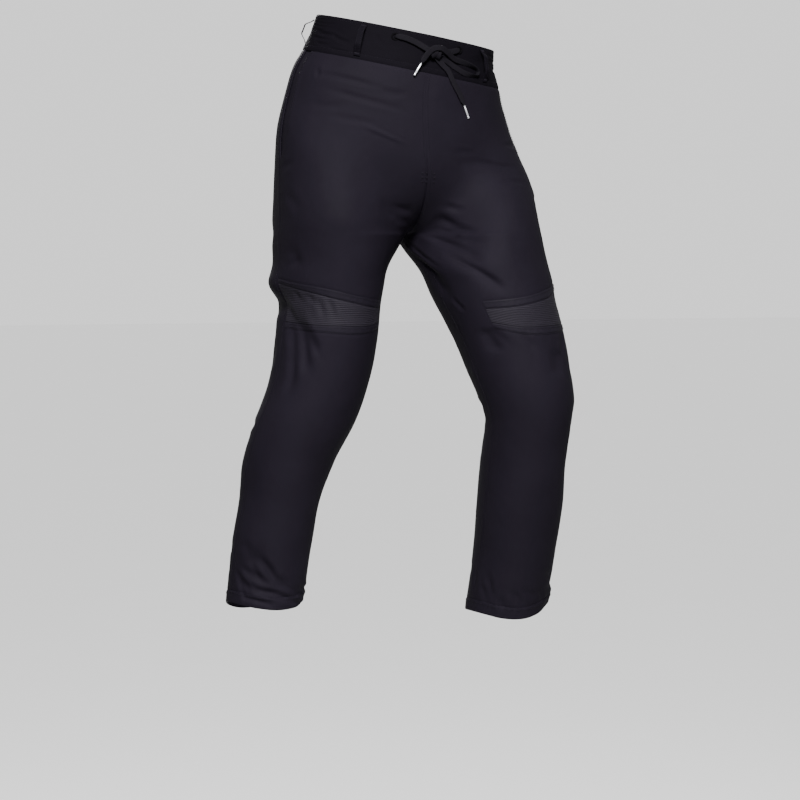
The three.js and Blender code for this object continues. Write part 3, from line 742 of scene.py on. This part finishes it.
def hem(key):
    side = SIDES[key]
    columns, rows = 230, 20
    turns = np.arange(columns) / columns
    bottom = hem_line(side, turns)
    s = np.linspace(0, 1, rows + 1)[:, None]
    drops = mix(bottom - HEM_HEIGHT + HALF_GAP, bottom, s)
    grid = np.broadcast_to(turns, drops.shape)
    base = body_surface(side, grid, drops)
    across, down = arc_lengths(base, 1), arc_lengths(base, 0)
    below = down[-1:] - down
    gathers = 0.45 * wobble(base * np.array([1, 1, 0.25]), 7.5, 3) * smooth(down / 8)
    edge = -0.7 * np.exp(-(below / 1.1) ** 2)
    lift = 0.6 + seam_form(down, across) + gathers + edge
    outer, normal = cloth(side, grid, drops, lift)
    return cloth_piece("hem", key, outer, normal, (across, down, lift), base, HEM_CLOTH,
                       closed=True)


# The waistband, with the wrinkles of its elastic

# Length of a degree round the band
BAND_DEGREE = 2.05
BAND_FOLD_COLUMNS = ("angle", "drop", "to_angle", "to_drop", "width", "depth")
BAND_FOLDS = [
    (-98, -21, -66, -20, 1.6, 0.7),
    (-96, -16.5, -64, -15.5, 1.7, 0.9),
    (-97, -11.5, -68, -11, 1.6, 0.7),
    (-92, -6, -72, -5, 1.8, 0.5),
    (-84, -2, -61, 0, 2.4, 1.4),
    (-64, 1, -48, 7, 2.6, 1.3),
    (-88, 6, -66, 7, 2, 0.8),
    (-80, 13, -62, 15, 2.2, 0.9),
    (-64, 18, -48, 20, 2, 0.6),
    (-34, -14, -26, 4, 3, 0.6),
    (-12, -18, 4, -12, 3, 0.5),
    (24, 2, 38, 10, 2.6, 0.9),
    (50, -18, 74, -15, 1.7, 0.8),
    (54, -9, 80, -10, 1.8, 0.8),
    (60, 1, 86, 4, 2.2, 1.4),
    (70, 11, 98, 9, 2, 0.9),
    (110, -16, 135, -13, 1.8, 0.9),
    (115, -4, 150, 0, 2.4, 1.4),
    (120, 8, 142, 12, 2, 0.8),
    (150, -14, 172, -17, 1.8, 0.8),
    (-112, -14, -138, -11, 1.8, 0.9),
    (-115, -1, -150, 3, 2.4, 1.5),
    (-118, 12, -144, 9, 2, 0.8),
    (-150, -16, -173, -12, 1.8, 0.8),
    (-152, 6, -176, 10, 2, 0.9),
    (155, 8, 176, 5, 2, 0.8),
]


def band_point(angle, drop):
    """Points of the plain band and their outward directions; the angle runs to the wearer's left."""
    def at(a, d):
        sign = np.where(a >= 0, 1.0, -1.0)
        out, forward = hip_point({"sign": sign}, np.abs(a) / 180, d)
        return place(sign * out, -forward, d)
    angle, drop = grids(angle, drop)
    across = at(np.minimum(angle + 1, 180.0), drop) - at(np.maximum(angle - 1, -180.0), drop)
    down = at(angle, drop + 1) - at(angle, drop - 1)
    return at(angle, drop), unit(np.cross(down, across))


def band_relief(angle, drop):
    """Height of the band's wrinkles."""
    height = np.zeros(np.broadcast(angle, drop).shape)
    for fold in BAND_FOLDS:
        row = dict(zip(BAND_FOLD_COLUMNS, fold))
        run, fall = (row["to_angle"] - row["angle"]) * BAND_DEGREE, row["to_drop"] - row["drop"]
        length = math.hypot(run, fall)
        across = (angle - row["angle"]) * BAND_DEGREE
        along = (across * run + (drop - row["drop"]) * fall) / length ** 2
        aside = (across * fall - (drop - row["drop"]) * run) / length + 2 * np.sin(along * 3)
        away = np.abs(aside) / row["width"]
        ends = smooth(np.minimum(along + 0.1, 1.1 - along) / 0.4)
        height -= row["depth"] * (np.exp(-away ** 2) - 0.35 * np.exp(-((away - 1.9) / 0.8) ** 2)) * ends
    return height


def band_cloth(angle, drop, lift=0.0):
    point, normal = band_point(angle, drop)
    puff = 0.7 * (1 - np.clip(np.abs(drop - 1) / 26, 0, 1) ** 4)
    rumple = 0.45 * wobble(point * np.array([1, 1, 2.2]), 18, 1)
    rumple = rumple + 0.15 * wobble(point * np.array([1, 1, 3]), 7, 2)
    height = band_relief(angle, drop) + puff + rumple + lift
    return point + normal * height[..., None], normal


# The band's two lines of stitching press it in, this far below its rim
BAND_LINES = (4.5, 47)


def waistband():
    columns, rows = 430, 36
    angle = -179.9 + np.arange(columns) * 360 / columns
    s = np.linspace(0, 1, rows + 1)[:, None]
    drops = mix(RIM_DROP, WAIST_DROP - HALF_GAP, s) + 0 * angle
    grid = np.broadcast_to(angle, drops.shape)
    base = band_point(grid, drops)[0]
    across, down = arc_lengths(base, 1), arc_lengths(base, 0)
    below = down[-1:] - down
    lift = -0.9 * np.exp(-(down / 1.0) ** 2) + seam_form(below, across)
    for line in BAND_LINES:
        lift = lift - 0.35 * np.exp(-((down - line) / 0.9) ** 2)
    outer, normal = band_cloth(grid, drops, lift)
    thread = np.stack([across * MM, down * MM, lift], -1)
    obj = wall("waistband_cloth", outer, outer - normal * BAND_CLOTH, thread, closed=True)
    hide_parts("waistband")
    declare_sheet(base, closed=True)
    return obj


# Belt loops: their angle, the drops of their ends, and how far they stand off the band

LOOP_COLUMNS = ("angle", "top", "bottom", "bow")
LOOPS = {
    "front_R": (-42, -22, 24, 9),
    "front_L": (42, -22, 24, 9),
    "side_R": (-105, -18, 18, 10),
    "side_L": (105, -18, 18, 10),
    "back": (180, -22, 24, 8),
}
LOOP_WIDTH = 9.5
LOOP_REACH = 130


def loop_point(row, across, s, lift=0.0):
    """A place on a belt loop: across it in mm, and down it from 0 to 1."""
    angle = row["angle"] + np.degrees(across / LOOP_REACH)
    angle = np.where(angle > 180, angle - 360, angle)
    bow = smooth(np.minimum(s, 1 - s) / 0.32) * row["bow"]
    point, normal = band_point(angle, mix(row["top"], row["bottom"], s))
    return point + normal * (1.0 + bow + lift)[..., None], normal


def belt_loop(name):
    row = dict(zip(LOOP_COLUMNS, LOOPS[name]))
    across = np.linspace(-LOOP_WIDTH / 2, LOOP_WIDTH / 2, 15)
    s = np.linspace(0, 1, 71)[:, None] + 0 * across
    grid = np.broadcast_to(across, s.shape)
    from_edge = LOOP_WIDTH / 2 - np.abs(grid)
    length = row["bottom"] - row["top"]
    along = s * length
    height = 1.5 - 0.5 * np.exp(-(from_edge / 0.6) ** 2) - 0.3 * np.exp(-((from_edge - 2) / 0.6) ** 2)
    weave = 0.12 * np.sin(along / 0.55 + 3 * np.sin(along / 5))
    height = height + weave * np.exp(-((from_edge - 2) / 1.2) ** 2)
    ends = np.minimum(along, length - along)
    height = height - 0.5 * np.exp(-(ends / 0.7) ** 2) - 0.3 * np.exp(-((ends - 2.6) / 1.1) ** 2)
    outer = loop_point(row, grid, s, height)[0]
    inner = loop_point(row, grid, s, 0 * height)[0]
    thread = np.stack([grid * MM, along * MM, height], -1)
    obj = wall(f"belt_loop_cloth_{name}", outer, inner, thread)
    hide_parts(f"belt_loop_{name}")
    return obj


# The drawstring: one flat lace through both eyelets and the knot. A row is a point of its route and the
# twist there, in degrees, that turns its flat side

LACE_WIDTH = 8.0
LACE_THICK = 1.5
LACE_L = [
    (50.75, -94, -6.5, 0), (50.2, -96.6, -6.6, 0), (45, -99, -8, 0), (38.5, -101, -9.5, 0),
    (29, -104, -11, 0), (21.4, -106.8, -12, 40), (15, -108.4, -12.2, 90), (11.6, -109, -15.4, 90),
    (14.4, -108.6, -18.4, 90), (19.5, -107.5, -18.2, 50), (25, -106, -21.5, 0), (32, -104, -25.5, 0),
    (44, -102, -32.5, 0), (58.5, -99, -39.5, 12), (72, -94, -42, 55), (79.5, -89.5, -40.5, 85),
    (82, -87, -36, 95), (79.5, -87.8, -32, 100), (72.5, -90.5, -28.5, 125), (55.5, -97, -23.5, 165),
    (40, -103, -19.5, 180), (27, -110.5, -11.5, 180), (16, -115.5, -6.5, 180), (5, -116.5, -7.5, 180),
    (-3, -115, -14, 180), (-8, -113.8, -20.5, 180), (-13, -113.4, -28.5, 180),
]
LACE_R = [
    (-44.2, -94, 9.1, 0), (-43.4, -96.6, 9.4, 0), (-38.45, -99.15, 8.9, 0), (-30.5, -101, 7, 0),
    (-17.5, -104, 1.5, 0), (-8, -106.2, -4, 0), (-1.2, -108, -8.2, 0), (6, -109.4, -14, 0),
    (13.5, -107.5, -20.8, 0), (16, -107.2, -23.5, 0), (20, -107, -27.5, 0), (30, -107.3, -37.5, 0),
    (35.5, -108, -49, 0), (41.5, -107.8, -60, 0), (48, -107, -70.5, 0), (51.5, -106.5, -77.5, 0),
    (54.3, -106, -84.3, 0),
]
# The lace's metal tips: distance along them, and share of their radius
AGLET_RADIUS = 1.5
AGLET_PROFILE = (
    (0, 0.82), (0.15, 1), (0.9, 1), (1.2, 0.86), (1.7, 0.86), (2.0, 0.97), (15.5, 0.97),
    (15.8, 0.86), (16.3, 0.86), (16.6, 0.97), (18.6, 0.95), (19.2, 0.8), (19.5, 0.45),
)
# Eyelets: where they are on the band, and the turned forms of the ring and of the near-black plug in the
# hole, which paints the hole's shade
EYELET_ANGLE = 21
EYELET_DROP = -13.0
EYELET_RING = (
    (0.0, 5.6), (0.5, 5.95), (1.0, 5.6), (1.3, 4.9), (1.35, 4.3), (1.1, 3.6), (0.5, 3.1), (-0.4, 3.0),
    (-0.8, 3.2), (-0.8, 5.2), (0.0, 5.6),
)
EYELET_HOLE = ((-0.6, 3.15), (0.35, 3.15), (0.45, 0.2))
# The knot: its wraps' shift along it, tilt in radians, half depth, half height and width, and its core
KNOT_CENTRE = np.array([9.5, -108.8, -12.5])
KNOT_WRAPS = ((0, 0.2, 5.6, 6.6, 8.2), (5.2, -0.55, 5.0, 5.6, 6.5), (-5.0, 0.5, 4.8, 5.4, 6.5))
KNOT_WRAP_THICK = 1.9
KNOT_CORE = ((-10.5, 0.8), (-9.5, 2.4), (-6, 4.1), (0, 4.9), (6, 4.1), (9.5, 2.4), (10.5, 0.8))


def smooth_path(rows, step=1.6):
    """Points a step apart on one smooth curve through the rows, each with its twist."""
    rows = np.array(rows, float)
    p = np.concatenate([[2 * rows[0] - rows[1]], rows, [2 * rows[-1] - rows[-2]]])
    out = []
    for k in range(1, len(p) - 2):
        a, b, c, d = p[k - 1:k + 3]
        t1, t2, t3 = (max(np.linalg.norm((v - u)[:3]), 1e-4) ** 0.5 for u, v in ((a, b), (b, c), (c, d)))
        here = ((b - a) / t1 - (c - a) / (t1 + t2) + (c - b) / t2) * t2
        there = ((c - b) / t2 - (d - b) / (t2 + t3) + (d - c) / t3) * t2
        s = np.linspace(0, 1, 24, endpoint=False)[:, None]
        out.append(b + s * (here + s * (3 * (c - b) - 2 * here - there + s * (here + there - 2 * (c - b)))))
    out = np.concatenate(out + [p[-2:-1]])
    length = np.concatenate([[0], np.cumsum(np.linalg.norm(np.diff(out[:, :3], axis=0), axis=1))])
    at = np.linspace(0, length[-1], int(length[-1] / step) + 1)
    return np.stack([np.interp(at, length, out[:, k]) for k in range(4)], 1), at


def outward(points):
    """Away from the body's middle, level."""
    return unit(points * np.array([1 / 150 ** 2, 1 / 110 ** 2, 0]))


def ribbon(name, points, twist, width, thick):
    """A flat lace along the points, rounded at its edges; width and thick may change along it."""
    tangent = unit(np.concatenate([points[1:], points[-1:]]) - np.concatenate([points[:1], points[:-1]]))
    face = outward(points)
    face = unit(face - tangent * np.sum(face * tangent, -1, keepdims=True))
    wide = np.cross(tangent, face)
    angle = np.radians(twist)[:, None]
    face, wide = face * np.cos(angle) + wide * np.sin(angle), wide * np.cos(angle) - face * np.sin(angle)
    return ribbon_mesh(name, points, face, wide, width, thick)


def tube_faces(count, sides, closed=False):
    """Faces round a tube of rings, with its ends capped unless it closes on itself."""
    i, k = np.meshgrid(np.arange(count if closed else count - 1), np.arange(sides), indexing="ij")
    here, ahead, beside = i * sides, (i + 1) % count * sides, (k + 1) % sides
    faces = np.stack([here + k, here + beside, ahead + beside, ahead + k], -1).reshape(-1, 4).tolist()
    if not closed:
        faces += [list(range(sides))[::-1], [(count - 1) * sides + k for k in range(sides)]]
    return faces


def ribbon_mesh(name, points, face, wide, width, thick, closed=False, rides=True):
    sides = 20
    a = 2 * np.pi * np.arange(sides) / sides
    u = np.sign(np.cos(a)) * np.abs(np.cos(a)) ** 0.55 / 2
    v = np.sign(np.sin(a)) * np.abs(np.sin(a)) ** 0.75 / 2
    width, thick = np.broadcast_to(width, len(points)), np.broadcast_to(thick, len(points))
    ring = points[:, None] + wide[:, None] * (u * width[:, None])[..., None]
    ring = ring + face[:, None] * (v * thick[:, None])[..., None]
    along = np.broadcast_to(arc_lengths(points, 0)[:, None], ring.shape[:2])
    thread = np.stack([u * width[:, None], along, v * thick[:, None]], -1)
    obj = new_object(name, ring.reshape(-1, 3), tube_faces(len(points), sides, closed), rides, 60)
    set_thread(obj, thread.reshape(-1, 3) * MM)
    return obj


def lace(key, route):
    rows, at = smooth_path(route)
    points, twist = rows[:, :3], rows[:, 3]
    end = at[-1] - at
    narrow = smooth(end / 8)
    width = mix(3.0, LACE_WIDTH, narrow) * mix(0.55, 1, smooth(at / 9))
    thick = mix(2.6, LACE_THICK, narrow) * mix(1.5, 1, smooth(at / 9))
    thick = thick + 0.25 * np.sin(at / 7.3 + 1)
    obj = ribbon(f"lace_{key}", points, twist, width, thick)
    return obj, points, at[-1]


def lathe(name, profile, centre, axis, sides=36):
    """A turned form: profile rows are distance along the axis and radius. The same row at both ends
    makes a closed ring."""
    axis = unit(np.asarray(axis, float))
    helper = np.array([0, 0, 1.0]) if abs(axis[2]) < 0.9 else np.array([1.0, 0, 0])
    side = unit(np.cross(axis, helper))
    other = np.cross(axis, side)
    a = 2 * np.pi * np.arange(sides) / sides
    circle = side * np.cos(a)[:, None] + other * np.sin(a)[:, None]
    rows = np.array(profile, float)
    closed = np.allclose(rows[0], rows[-1])
    rows = rows[:-1] if closed else rows
    points = np.asarray(centre) + axis * rows[:, None, :1] + circle[None] * rows[:, None, 1:2]
    return new_object(name, points.reshape(-1, 3), tube_faces(len(rows), sides, closed))


def aglet(key, points):
    along = unit(points[-1] - points[-4])
    profile = [(at, share * AGLET_RADIUS) for at, share in AGLET_PROFILE]
    obj = lathe(f"aglet_metal_{key}", profile, points[-1] + along * 0.2, along, 28)
    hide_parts(f"aglet_{key}")
    return obj


def eyelet(key):
    point, normal = band_point(SIDES[key]["sign"] * EYELET_ANGLE, EYELET_DROP)
    centre = point + normal * 0.6
    obj = lathe(f"eyelet_metal_{key}", EYELET_RING, centre, normal)
    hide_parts(f"eyelet_{key}")
    hole = lathe(f"eyelet_hole_{key}", EYELET_HOLE, centre, normal)
    return obj, hole


def knot():
    """Three wraps of the lace round a core."""
    parts = []
    for index, (shift, tilt, deep, high, width) in enumerate(KNOT_WRAPS):
        a = np.linspace(0, 2 * np.pi, 48, endpoint=False)
        ring = np.stack([0 * a, deep * np.cos(a), high * np.sin(a)], -1)
        cos, sin = math.cos(tilt), math.sin(tilt)
        wide = np.array([cos, 0, sin])
        turn = np.array([[cos, 0, -sin], [0, 1, 0], [sin, 0, cos]])
        points = KNOT_CENTRE + wide * shift + ring @ turn.T
        face = unit(np.stack([0 * a, np.cos(a) / deep, np.sin(a) / high], -1) @ turn.T)
        waist = width * (1 - 0.25 * np.cos(a * 2 + index))
        parts.append(ribbon_mesh(f"knot_wrap_{index}", points, face, np.broadcast_to(wide, face.shape),
                                 waist, KNOT_WRAP_THICK, closed=True, rides=False))
    bpy.ops.object.select_all(action="DESELECT")
    for part in parts:
        part.select_set(True)
    bpy.context.view_layer.objects.active = parts[0]
    bpy.ops.object.join()
    obj = parts[0]
    obj.name = "knot_lace"
    core = lathe("knot_core", KNOT_CORE, KNOT_CENTRE, (1, 0, 0.1))
    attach(obj, "root")
    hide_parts("knot")
    return obj, core


# Stitches

def stitch_row(line, normals, pitch=STITCH_PITCH, length=STITCH_LENGTH, radius=STITCH_RADIUS):
    """Stitches along a line of points: their points and faces."""
    along = arc_lengths(line, 0)
    starts = (np.arange(int((along[-1] - length) // pitch)) + 0.5) * pitch - length / 2

    def at(x, values):
        return np.stack([np.interp(x, along, values[:, k]) for k in range(3)], -1)

    up = unit(at(starts + length / 2, normals))
    return stitches(at(starts, line), at(starts + length, line), up, radius)


def stitches(start, end, up, radius=STITCH_RADIUS):
    """Points and faces of five-sided stitches between two lists of points."""
    sides = 5
    forward = unit(end - start)
    side = unit(np.cross(up, forward))
    a = 2 * np.pi * np.arange(sides) / sides
    ring = side[:, None] * np.cos(a)[:, None] + up[:, None] * np.sin(a)[:, None]
    span = end - start
    first = (start + span * 0.18 + up * radius * 0.35)[:, None] + ring * radius
    second = (start + span * 0.82 + up * radius * 0.35)[:, None] + ring * radius
    low = up * radius * 0.6
    points = np.concatenate([(start - low)[:, None], first, second, (end - low)[:, None]], 1)
    k = np.arange(sides)
    k2 = (k + 1) % sides
    one = np.concatenate([
        np.stack([0 * k, 1 + k2, 1 + k, 1 + k], -1),
        np.stack([1 + k, 1 + k2, 1 + sides + k2, 1 + sides + k], -1),
        np.stack([0 * k + 1 + 2 * sides, 1 + sides + k, 1 + sides + k2, 1 + sides + k2], -1),
    ])
    size = 2 + 2 * sides
    faces = one[None] + (np.arange(len(start)) * size)[:, None, None]
    return points.reshape(-1, 3), faces.reshape(-1, 4)


def join_stitches(name, rows):
    points, faces, offset = [], [], 0
    for p, f in rows:
        points.append(p)
        faces.append(f + offset)
        offset += len(p)
    points, faces = np.concatenate(points), np.concatenate(faces)
    lists = [f[:3] if f[2] == f[3] else f for f in faces.tolist()]
    obj = new_object(name, points, lists, smooth_angle=80)
    return obj


def cloth_line(key, turn, drop, lift=0.55, **settings):
    side = SIDES[key]
    turn, drop = grids(turn, drop)
    points, normals = cloth(side, turn, drop, lift)
    return stitch_row(points, normals, **settings)


def girth_at(drop):
    return mix(565, 370, smooth((drop - 300) / 330))


def side_stitches(key):
    side = SIDES[key]
    rows = []
    hem_top = side["hem"] - HEM_HEIGHT
    long = np.linspace(WAIST_DROP + 2, hem_top - 8, 700)
    rows.append(cloth_line(key, 0.5 + SEAM_SEWING / girth_at(long), long))
    leg = np.linspace(CROTCH_DROP + 14, hem_top - 4, 460)
    rows.append(cloth_line(key, 1 - SEAM_SEWING / girth_at(leg), leg))
    mouth = np.linspace(WAIST_DROP + 2, POCKET_END["front"] - 2, 120)
    for off in (2.2, 7.2):
        beside = pocket_gape(np.full_like(mouth, off), mouth)
        rows.append(cloth_line(key, POCKET_TURN - off / HIP_GIRTH, mouth, beside + 0.45))
    turns = np.linspace(KNEE_TIP + 0.004, 0.494, 260)
    for line, below in (("trim_top", 2.4), ("top", -2.2), ("bottom", 2.2), ("trim_bottom", -2.4)):
        rows.append(cloth_line(key, turns, knee_line(line, turns) + below, 0.9, pitch=3, length=2.2))
    around = np.linspace(0.003, 0.997, 400)
    rows.append(cloth_line(key, around, hem_line(side, around) - HEM_HEIGHT + 3.4, 0.95))
    front = np.linspace(WAIST_DROP + 2, CROTCH_DROP - 26, 260)
    rows.append(cloth_line(key, 0.0001 + CENTRE_SEWING / HIP_GIRTH, front, 0.35))
    rows.append(cloth_line(key, 1 - CENTRE_SEWING / HIP_GIRTH, front, 0.35))
    return rows


def band_stitches():
    rows = []
    angle = np.linspace(-179.5, 179.5, 900)
    for line in BAND_LINES:
        points, normals = band_cloth(angle, np.full_like(angle, RIM_DROP + line), -0.15 + 0 * angle)
        rows.append(stitch_row(points, normals))
    for values in LOOPS.values():
        row = dict(zip(LOOP_COLUMNS, values))
        s = np.linspace(0.07, 0.93, 60)
        for across in (-2.75, 2.75):
            points, normals = loop_point(row, np.full_like(s, across), s, 1.25 + 0 * s)
            rows.append(stitch_row(points, normals, pitch=3.0, length=2.2, radius=0.26))
        for s0 in (0.055, 0.945):
            spread = np.linspace(-3.4, 3.4, 15)
            start = loop_point(row, spread - 0.25, np.full_like(spread, s0 - 0.025), 1.2 + 0 * spread)
            end = loop_point(row, spread + 0.25, np.full_like(spread, s0 + 0.025), 1.2 + 0 * spread)
            rows.append(stitches(start[0], end[0], start[1], 0.28))
    return rows


def bar_tack(key, across, drop, half_width=0.9, half_height=1.2, lift=0.35):
    """Close stitches side by side, this far from the centre seam."""
    side = SIDES[key]
    spread = across + np.linspace(-half_width, half_width, 15)
    top = cloth(side, spread / HIP_GIRTH, drop - half_height, lift)
    low = cloth(side, (spread + 0.3) / HIP_GIRTH, drop + half_height, lift)
    return stitches(top[0], low[0], top[1])


def fly_tacks():
    """Three by three short tacks below the fly's stitching."""
    return [bar_tack(key, across, drop) for drop in FLY_TACK_DROPS for key, across in FLY_TACK_PLACES]


# Materials

def node_tools(name):
    material = bpy.data.materials.new(name)
    material.use_nodes = True
    tree = material.node_tree
    shader = tree.nodes["Principled BSDF"]

    def node(kind, inputs=(), **settings):
        made = tree.nodes.new(kind)
        for key, value in settings.items():
            setattr(made, key, value)
        for key, value in dict(inputs).items():
            if isinstance(value, bpy.types.NodeSocket):
                tree.links.new(value, made.inputs[key])
            else:
                made.inputs[key].default_value = value
        return made

    def maths(operation, a, b=0.0):
        return node("ShaderNodeMath", {0: a, 1: b}, operation=operation).outputs[0]

    def noise(scale, detail):
        inputs = {"Vector": node("ShaderNodeTexCoord").outputs["Object"], "Scale": scale, "Detail": detail}
        return node("ShaderNodeTexNoise", inputs).outputs["Fac"]

    def finish(factor, dark, light, roughness, height=None, strength=1.0, distance=0.001):
        """Links the shader. The Mix node's colour sockets share their names, so they are set by place."""
        blend = {0: factor, 6: (*dark, 1), 7: (*light, 1)}
        tree.links.new(node("ShaderNodeMix", blend, data_type="RGBA").outputs[2], shader.inputs["Base Color"])
        if isinstance(roughness, bpy.types.NodeSocket):
            tree.links.new(roughness, shader.inputs["Roughness"])
        else:
            shader.inputs["Roughness"].default_value = roughness
        if height is not None:
            bump = {"Height": height, "Strength": strength, "Distance": distance}
            tree.links.new(node("ShaderNodeBump", bump).outputs[0], shader.inputs["Normal"])

    return material, shader, node, maths, noise, finish


def fabric(name, dark, light, rough, twill, thread_pitch, gloss):
    """Woven cloth: threads, slight unevenness of colour, and painted light and shade from the height stored
    with its points: paler ridges and darker seams.
    """
    material, shader, node, maths, noise, finish = node_tools(name)
    thread = node("ShaderNodeAttribute", attribute_name="thread", attribute_type="GEOMETRY").outputs["Vector"]
    u, v, lift = node("ShaderNodeSeparateXYZ", {0: thread}).outputs
    turn = 2 * math.pi / thread_pitch
    diagonal = maths("SINE", maths("MULTIPLY", maths("ADD", maths("MULTIPLY", u, twill), v), turn))
    fine = maths("SINE", maths("MULTIPLY", u, turn * 2.3))
    cross = maths("SINE", maths("MULTIPLY", v, turn * 2.3))
    checks = maths("MULTIPLY", maths("MULTIPLY", fine, cross), 0.4)
    weave = maths("ADD", maths("MULTIPLY", diagonal, 0.6), checks)
    blotch, grain, rumple = noise(16.0, 3.0), noise(900.0, 2.0), noise(95.0, 4.0)
    shade = maths("ADD", maths("MULTIPLY", blotch, 0.5), maths("MULTIPLY", grain, 0.3))
    shade = maths("ADD", shade, maths("MULTIPLY", weave, 0.07))
    # Painted light and shade: the colour is paler where the cloth stands proud and darker where it dips into
    # seams
    shade = node("ShaderNodeClamp", {0: maths("ADD", shade, maths("MULTIPLY", lift, 0.12))}).outputs[0]
    roughness = maths("ADD", maths("MULTIPLY", blotch, 0.12), rough - 0.06)
    height = maths("ADD", maths("MULTIPLY", weave, 0.05), maths("MULTIPLY", rumple, 0.5))
    height = maths("ADD", height, maths("MULTIPLY", grain, 0.05))
    finish(shade, dark, light, roughness, height, 0.35)
    shader.inputs["Specular IOR Level"].default_value = gloss
    return material


def metal(name, colour, rough, scratch):
    material, shader, node, maths, noise, finish = node_tools(name)
    marks = noise(700.0, 3.0)
    roughness = maths("ADD", maths("MULTIPLY", marks, scratch), rough)
    finish(marks, [c * 0.82 for c in colour], colour, roughness, marks, 0.15, 0.0003)
    shader.inputs["Metallic"].default_value = 1.0
    return material


def plain(name, colour, rough, gloss=0.5):
    material, shader, node, maths, noise, finish = node_tools(name)
    finish(noise(2.0, 2.0), [c * 0.985 for c in colour], colour, rough)
    shader.inputs["Specular IOR Level"].default_value = gloss
    return material


def dress(obj, material):
    obj.data.materials.clear()
    obj.data.materials.append(material)
    return obj


# Lamps: place, target, size, power in watts and spread in degrees
LAMPS = {
    "key": ((-0.75, -2.1, 1.4), (-0.1, 0, -0.62), (0.9, 0.7), 136, 72),
    "low": ((-0.7, -2.7, -1.3), (0, 0, -0.8), (0.6, 0.5), 4.5, 30),
    "fill": ((3.0, -2.0, 0.6), (0, 0, -0.4), (1.6, 2.4), 30, 180),
    "back": ((0.6, 2.3, 1.4), (0, 0, -0.4), (0.9, 0.7), 110, 70),
}
SKY_STRENGTH = 1.2
FLOOR_HALF = 60
FLOOR_HEIGHT = -2.2


def add_light(name, place_at, target, size, power, spread):
    data = bpy.data.lights.new(name, "AREA")
    data.spread = math.radians(spread)
    data.shape = "RECTANGLE"
    data.size, data.size_y = size
    data.energy = power
    light = bpy.data.objects.new(name, data)
    bpy.context.scene.collection.objects.link(light)
    light.location = place_at
    light.rotation_mode = "QUATERNION"
    light.rotation_quaternion = (Vector(target) - Vector(place_at)).to_track_quat("-Z", "Y")


def add_studio():
    world = bpy.data.worlds.new("world")
    bpy.context.scene.world = world
    world.use_nodes = True
    world.node_tree.nodes["Background"].inputs[0].default_value = (1, 1, 1, 1)
    world.node_tree.nodes["Background"].inputs[1].default_value = SKY_STRENGTH
    for name, row in LAMPS.items():
        add_light(name, *row)
    mesh = bpy.data.meshes.new("floor")
    signs = ((-1, -1), (1, -1), (1, 1), (-1, 1))
    mesh.from_pydata([(x * FLOOR_HALF, y * FLOOR_HALF, FLOOR_HEIGHT) for x, y in signs], [], [(0, 1, 2, 3)])
    floor = bpy.data.objects.new("floor", mesh)
    bpy.context.scene.collection.objects.link(floor)
    dress(floor, plain("floor_white", (0.93, 0.93, 0.93), 0.6))


# Cloths: darkest and lightest colour, roughness, slant of the twill, pitch of its threads in metres, gloss
FABRICS = {
    "lace_weave": ((0.0009, 0.00076, 0.0011), (0.0030, 0.0026, 0.0036), 0.8, 1.0, 0.0011, 0.015),
    "stretch_twill": ((0.0014, 0.00108, 0.00182), (0.0031, 0.00248, 0.0040), 0.7, 1.0, 0.0012, 0.012),
    "smooth_trim": ((0.0015, 0.0012, 0.00195), (0.0034, 0.0028, 0.0043), 0.6, 1.0, 0.0009, 0.015),
    "rib_knit": ((0.0023, 0.00196, 0.0028), (0.0052, 0.0045, 0.0062), 0.6, 0.0, 0.0008, 0.015),
    # The band and its belt loops: the same twill made darker, as painted shade
    "band_twill_painted_shade": ((0.00062, 0.00049, 0.00081), (0.00145, 0.00116, 0.00187), 0.8, 1.0, 0.0012, 0.01),
    "sewing_thread": ((0.0016, 0.0013, 0.0020), (0.0042, 0.0035, 0.0052), 0.6, 1.0, 0.0006, 0.015),
}

add_camera()
made_of = {name: fabric(name, *row) for name, row in FABRICS.items()}
steel = metal("aglet_steel", (0.36, 0.36, 0.38), 0.3, 0.2)
dark_metal = plain("eyelet_black", (0.0005, 0.0004, 0.0006), 0.8, 0.01)
# A near-black plug fills each eyelet's hole: painted shade inside the hole
hole_painted_shade = plain("eyelet_hole_painted_shade", (0.0004, 0.0004, 0.0004), 0.9, 0.0)

knot_pieces = knot()
for key, route in (("L", LACE_L), ("R", LACE_R)):
    piece, points, length = lace(key, route)
    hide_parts(f"lace_{key}_in", f"lace_{key}_loop" if key == "L" else f"lace_{key}_end")
    tip = dress(aglet(key, points), steel)
    dress(piece, made_of["lace_weave"])
for piece in knot_pieces:
    dress(piece, made_of["lace_weave"])
on_band = []
for key in SIDES:
    ring, hole = eyelet(key)
    on_band += [dress(ring, dark_metal), dress(hole, hole_painted_shade)]

for key in SIDES:
    for piece in (main_piece(key, True), main_piece(key, False), pocket_facing(key), hem(key)):
        dress(piece, made_of["stretch_twill"])
    dress(strip("knee_panel", key, "top", "bottom", PANEL_ROWS, rib_form), made_of["rib_knit"])
    for kind, lines in (("top", ("trim_top", "top")), ("low", ("bottom", "trim_bottom"))):
        piece = strip(f"knee_trim_{kind}", key, *lines, TRIM_ROWS, trim_form)
        dress(piece, made_of["smooth_trim"])
for name in LOOPS:
    on_band.append(dress(belt_loop(name), made_of["band_twill_painted_shade"]))
on_band.append(dress(join_stitches("stitching_band", band_stitches()), made_of["sewing_thread"]))
dress(waistband(), made_of["band_twill_painted_shade"])
for key in SIDES:
    dress(join_stitches(f"stitching_{key}", side_stitches(key)), made_of["sewing_thread"])
dress(join_stitches("stitching_fly", fly_tacks()), made_of["sewing_thread"])
add_studio()
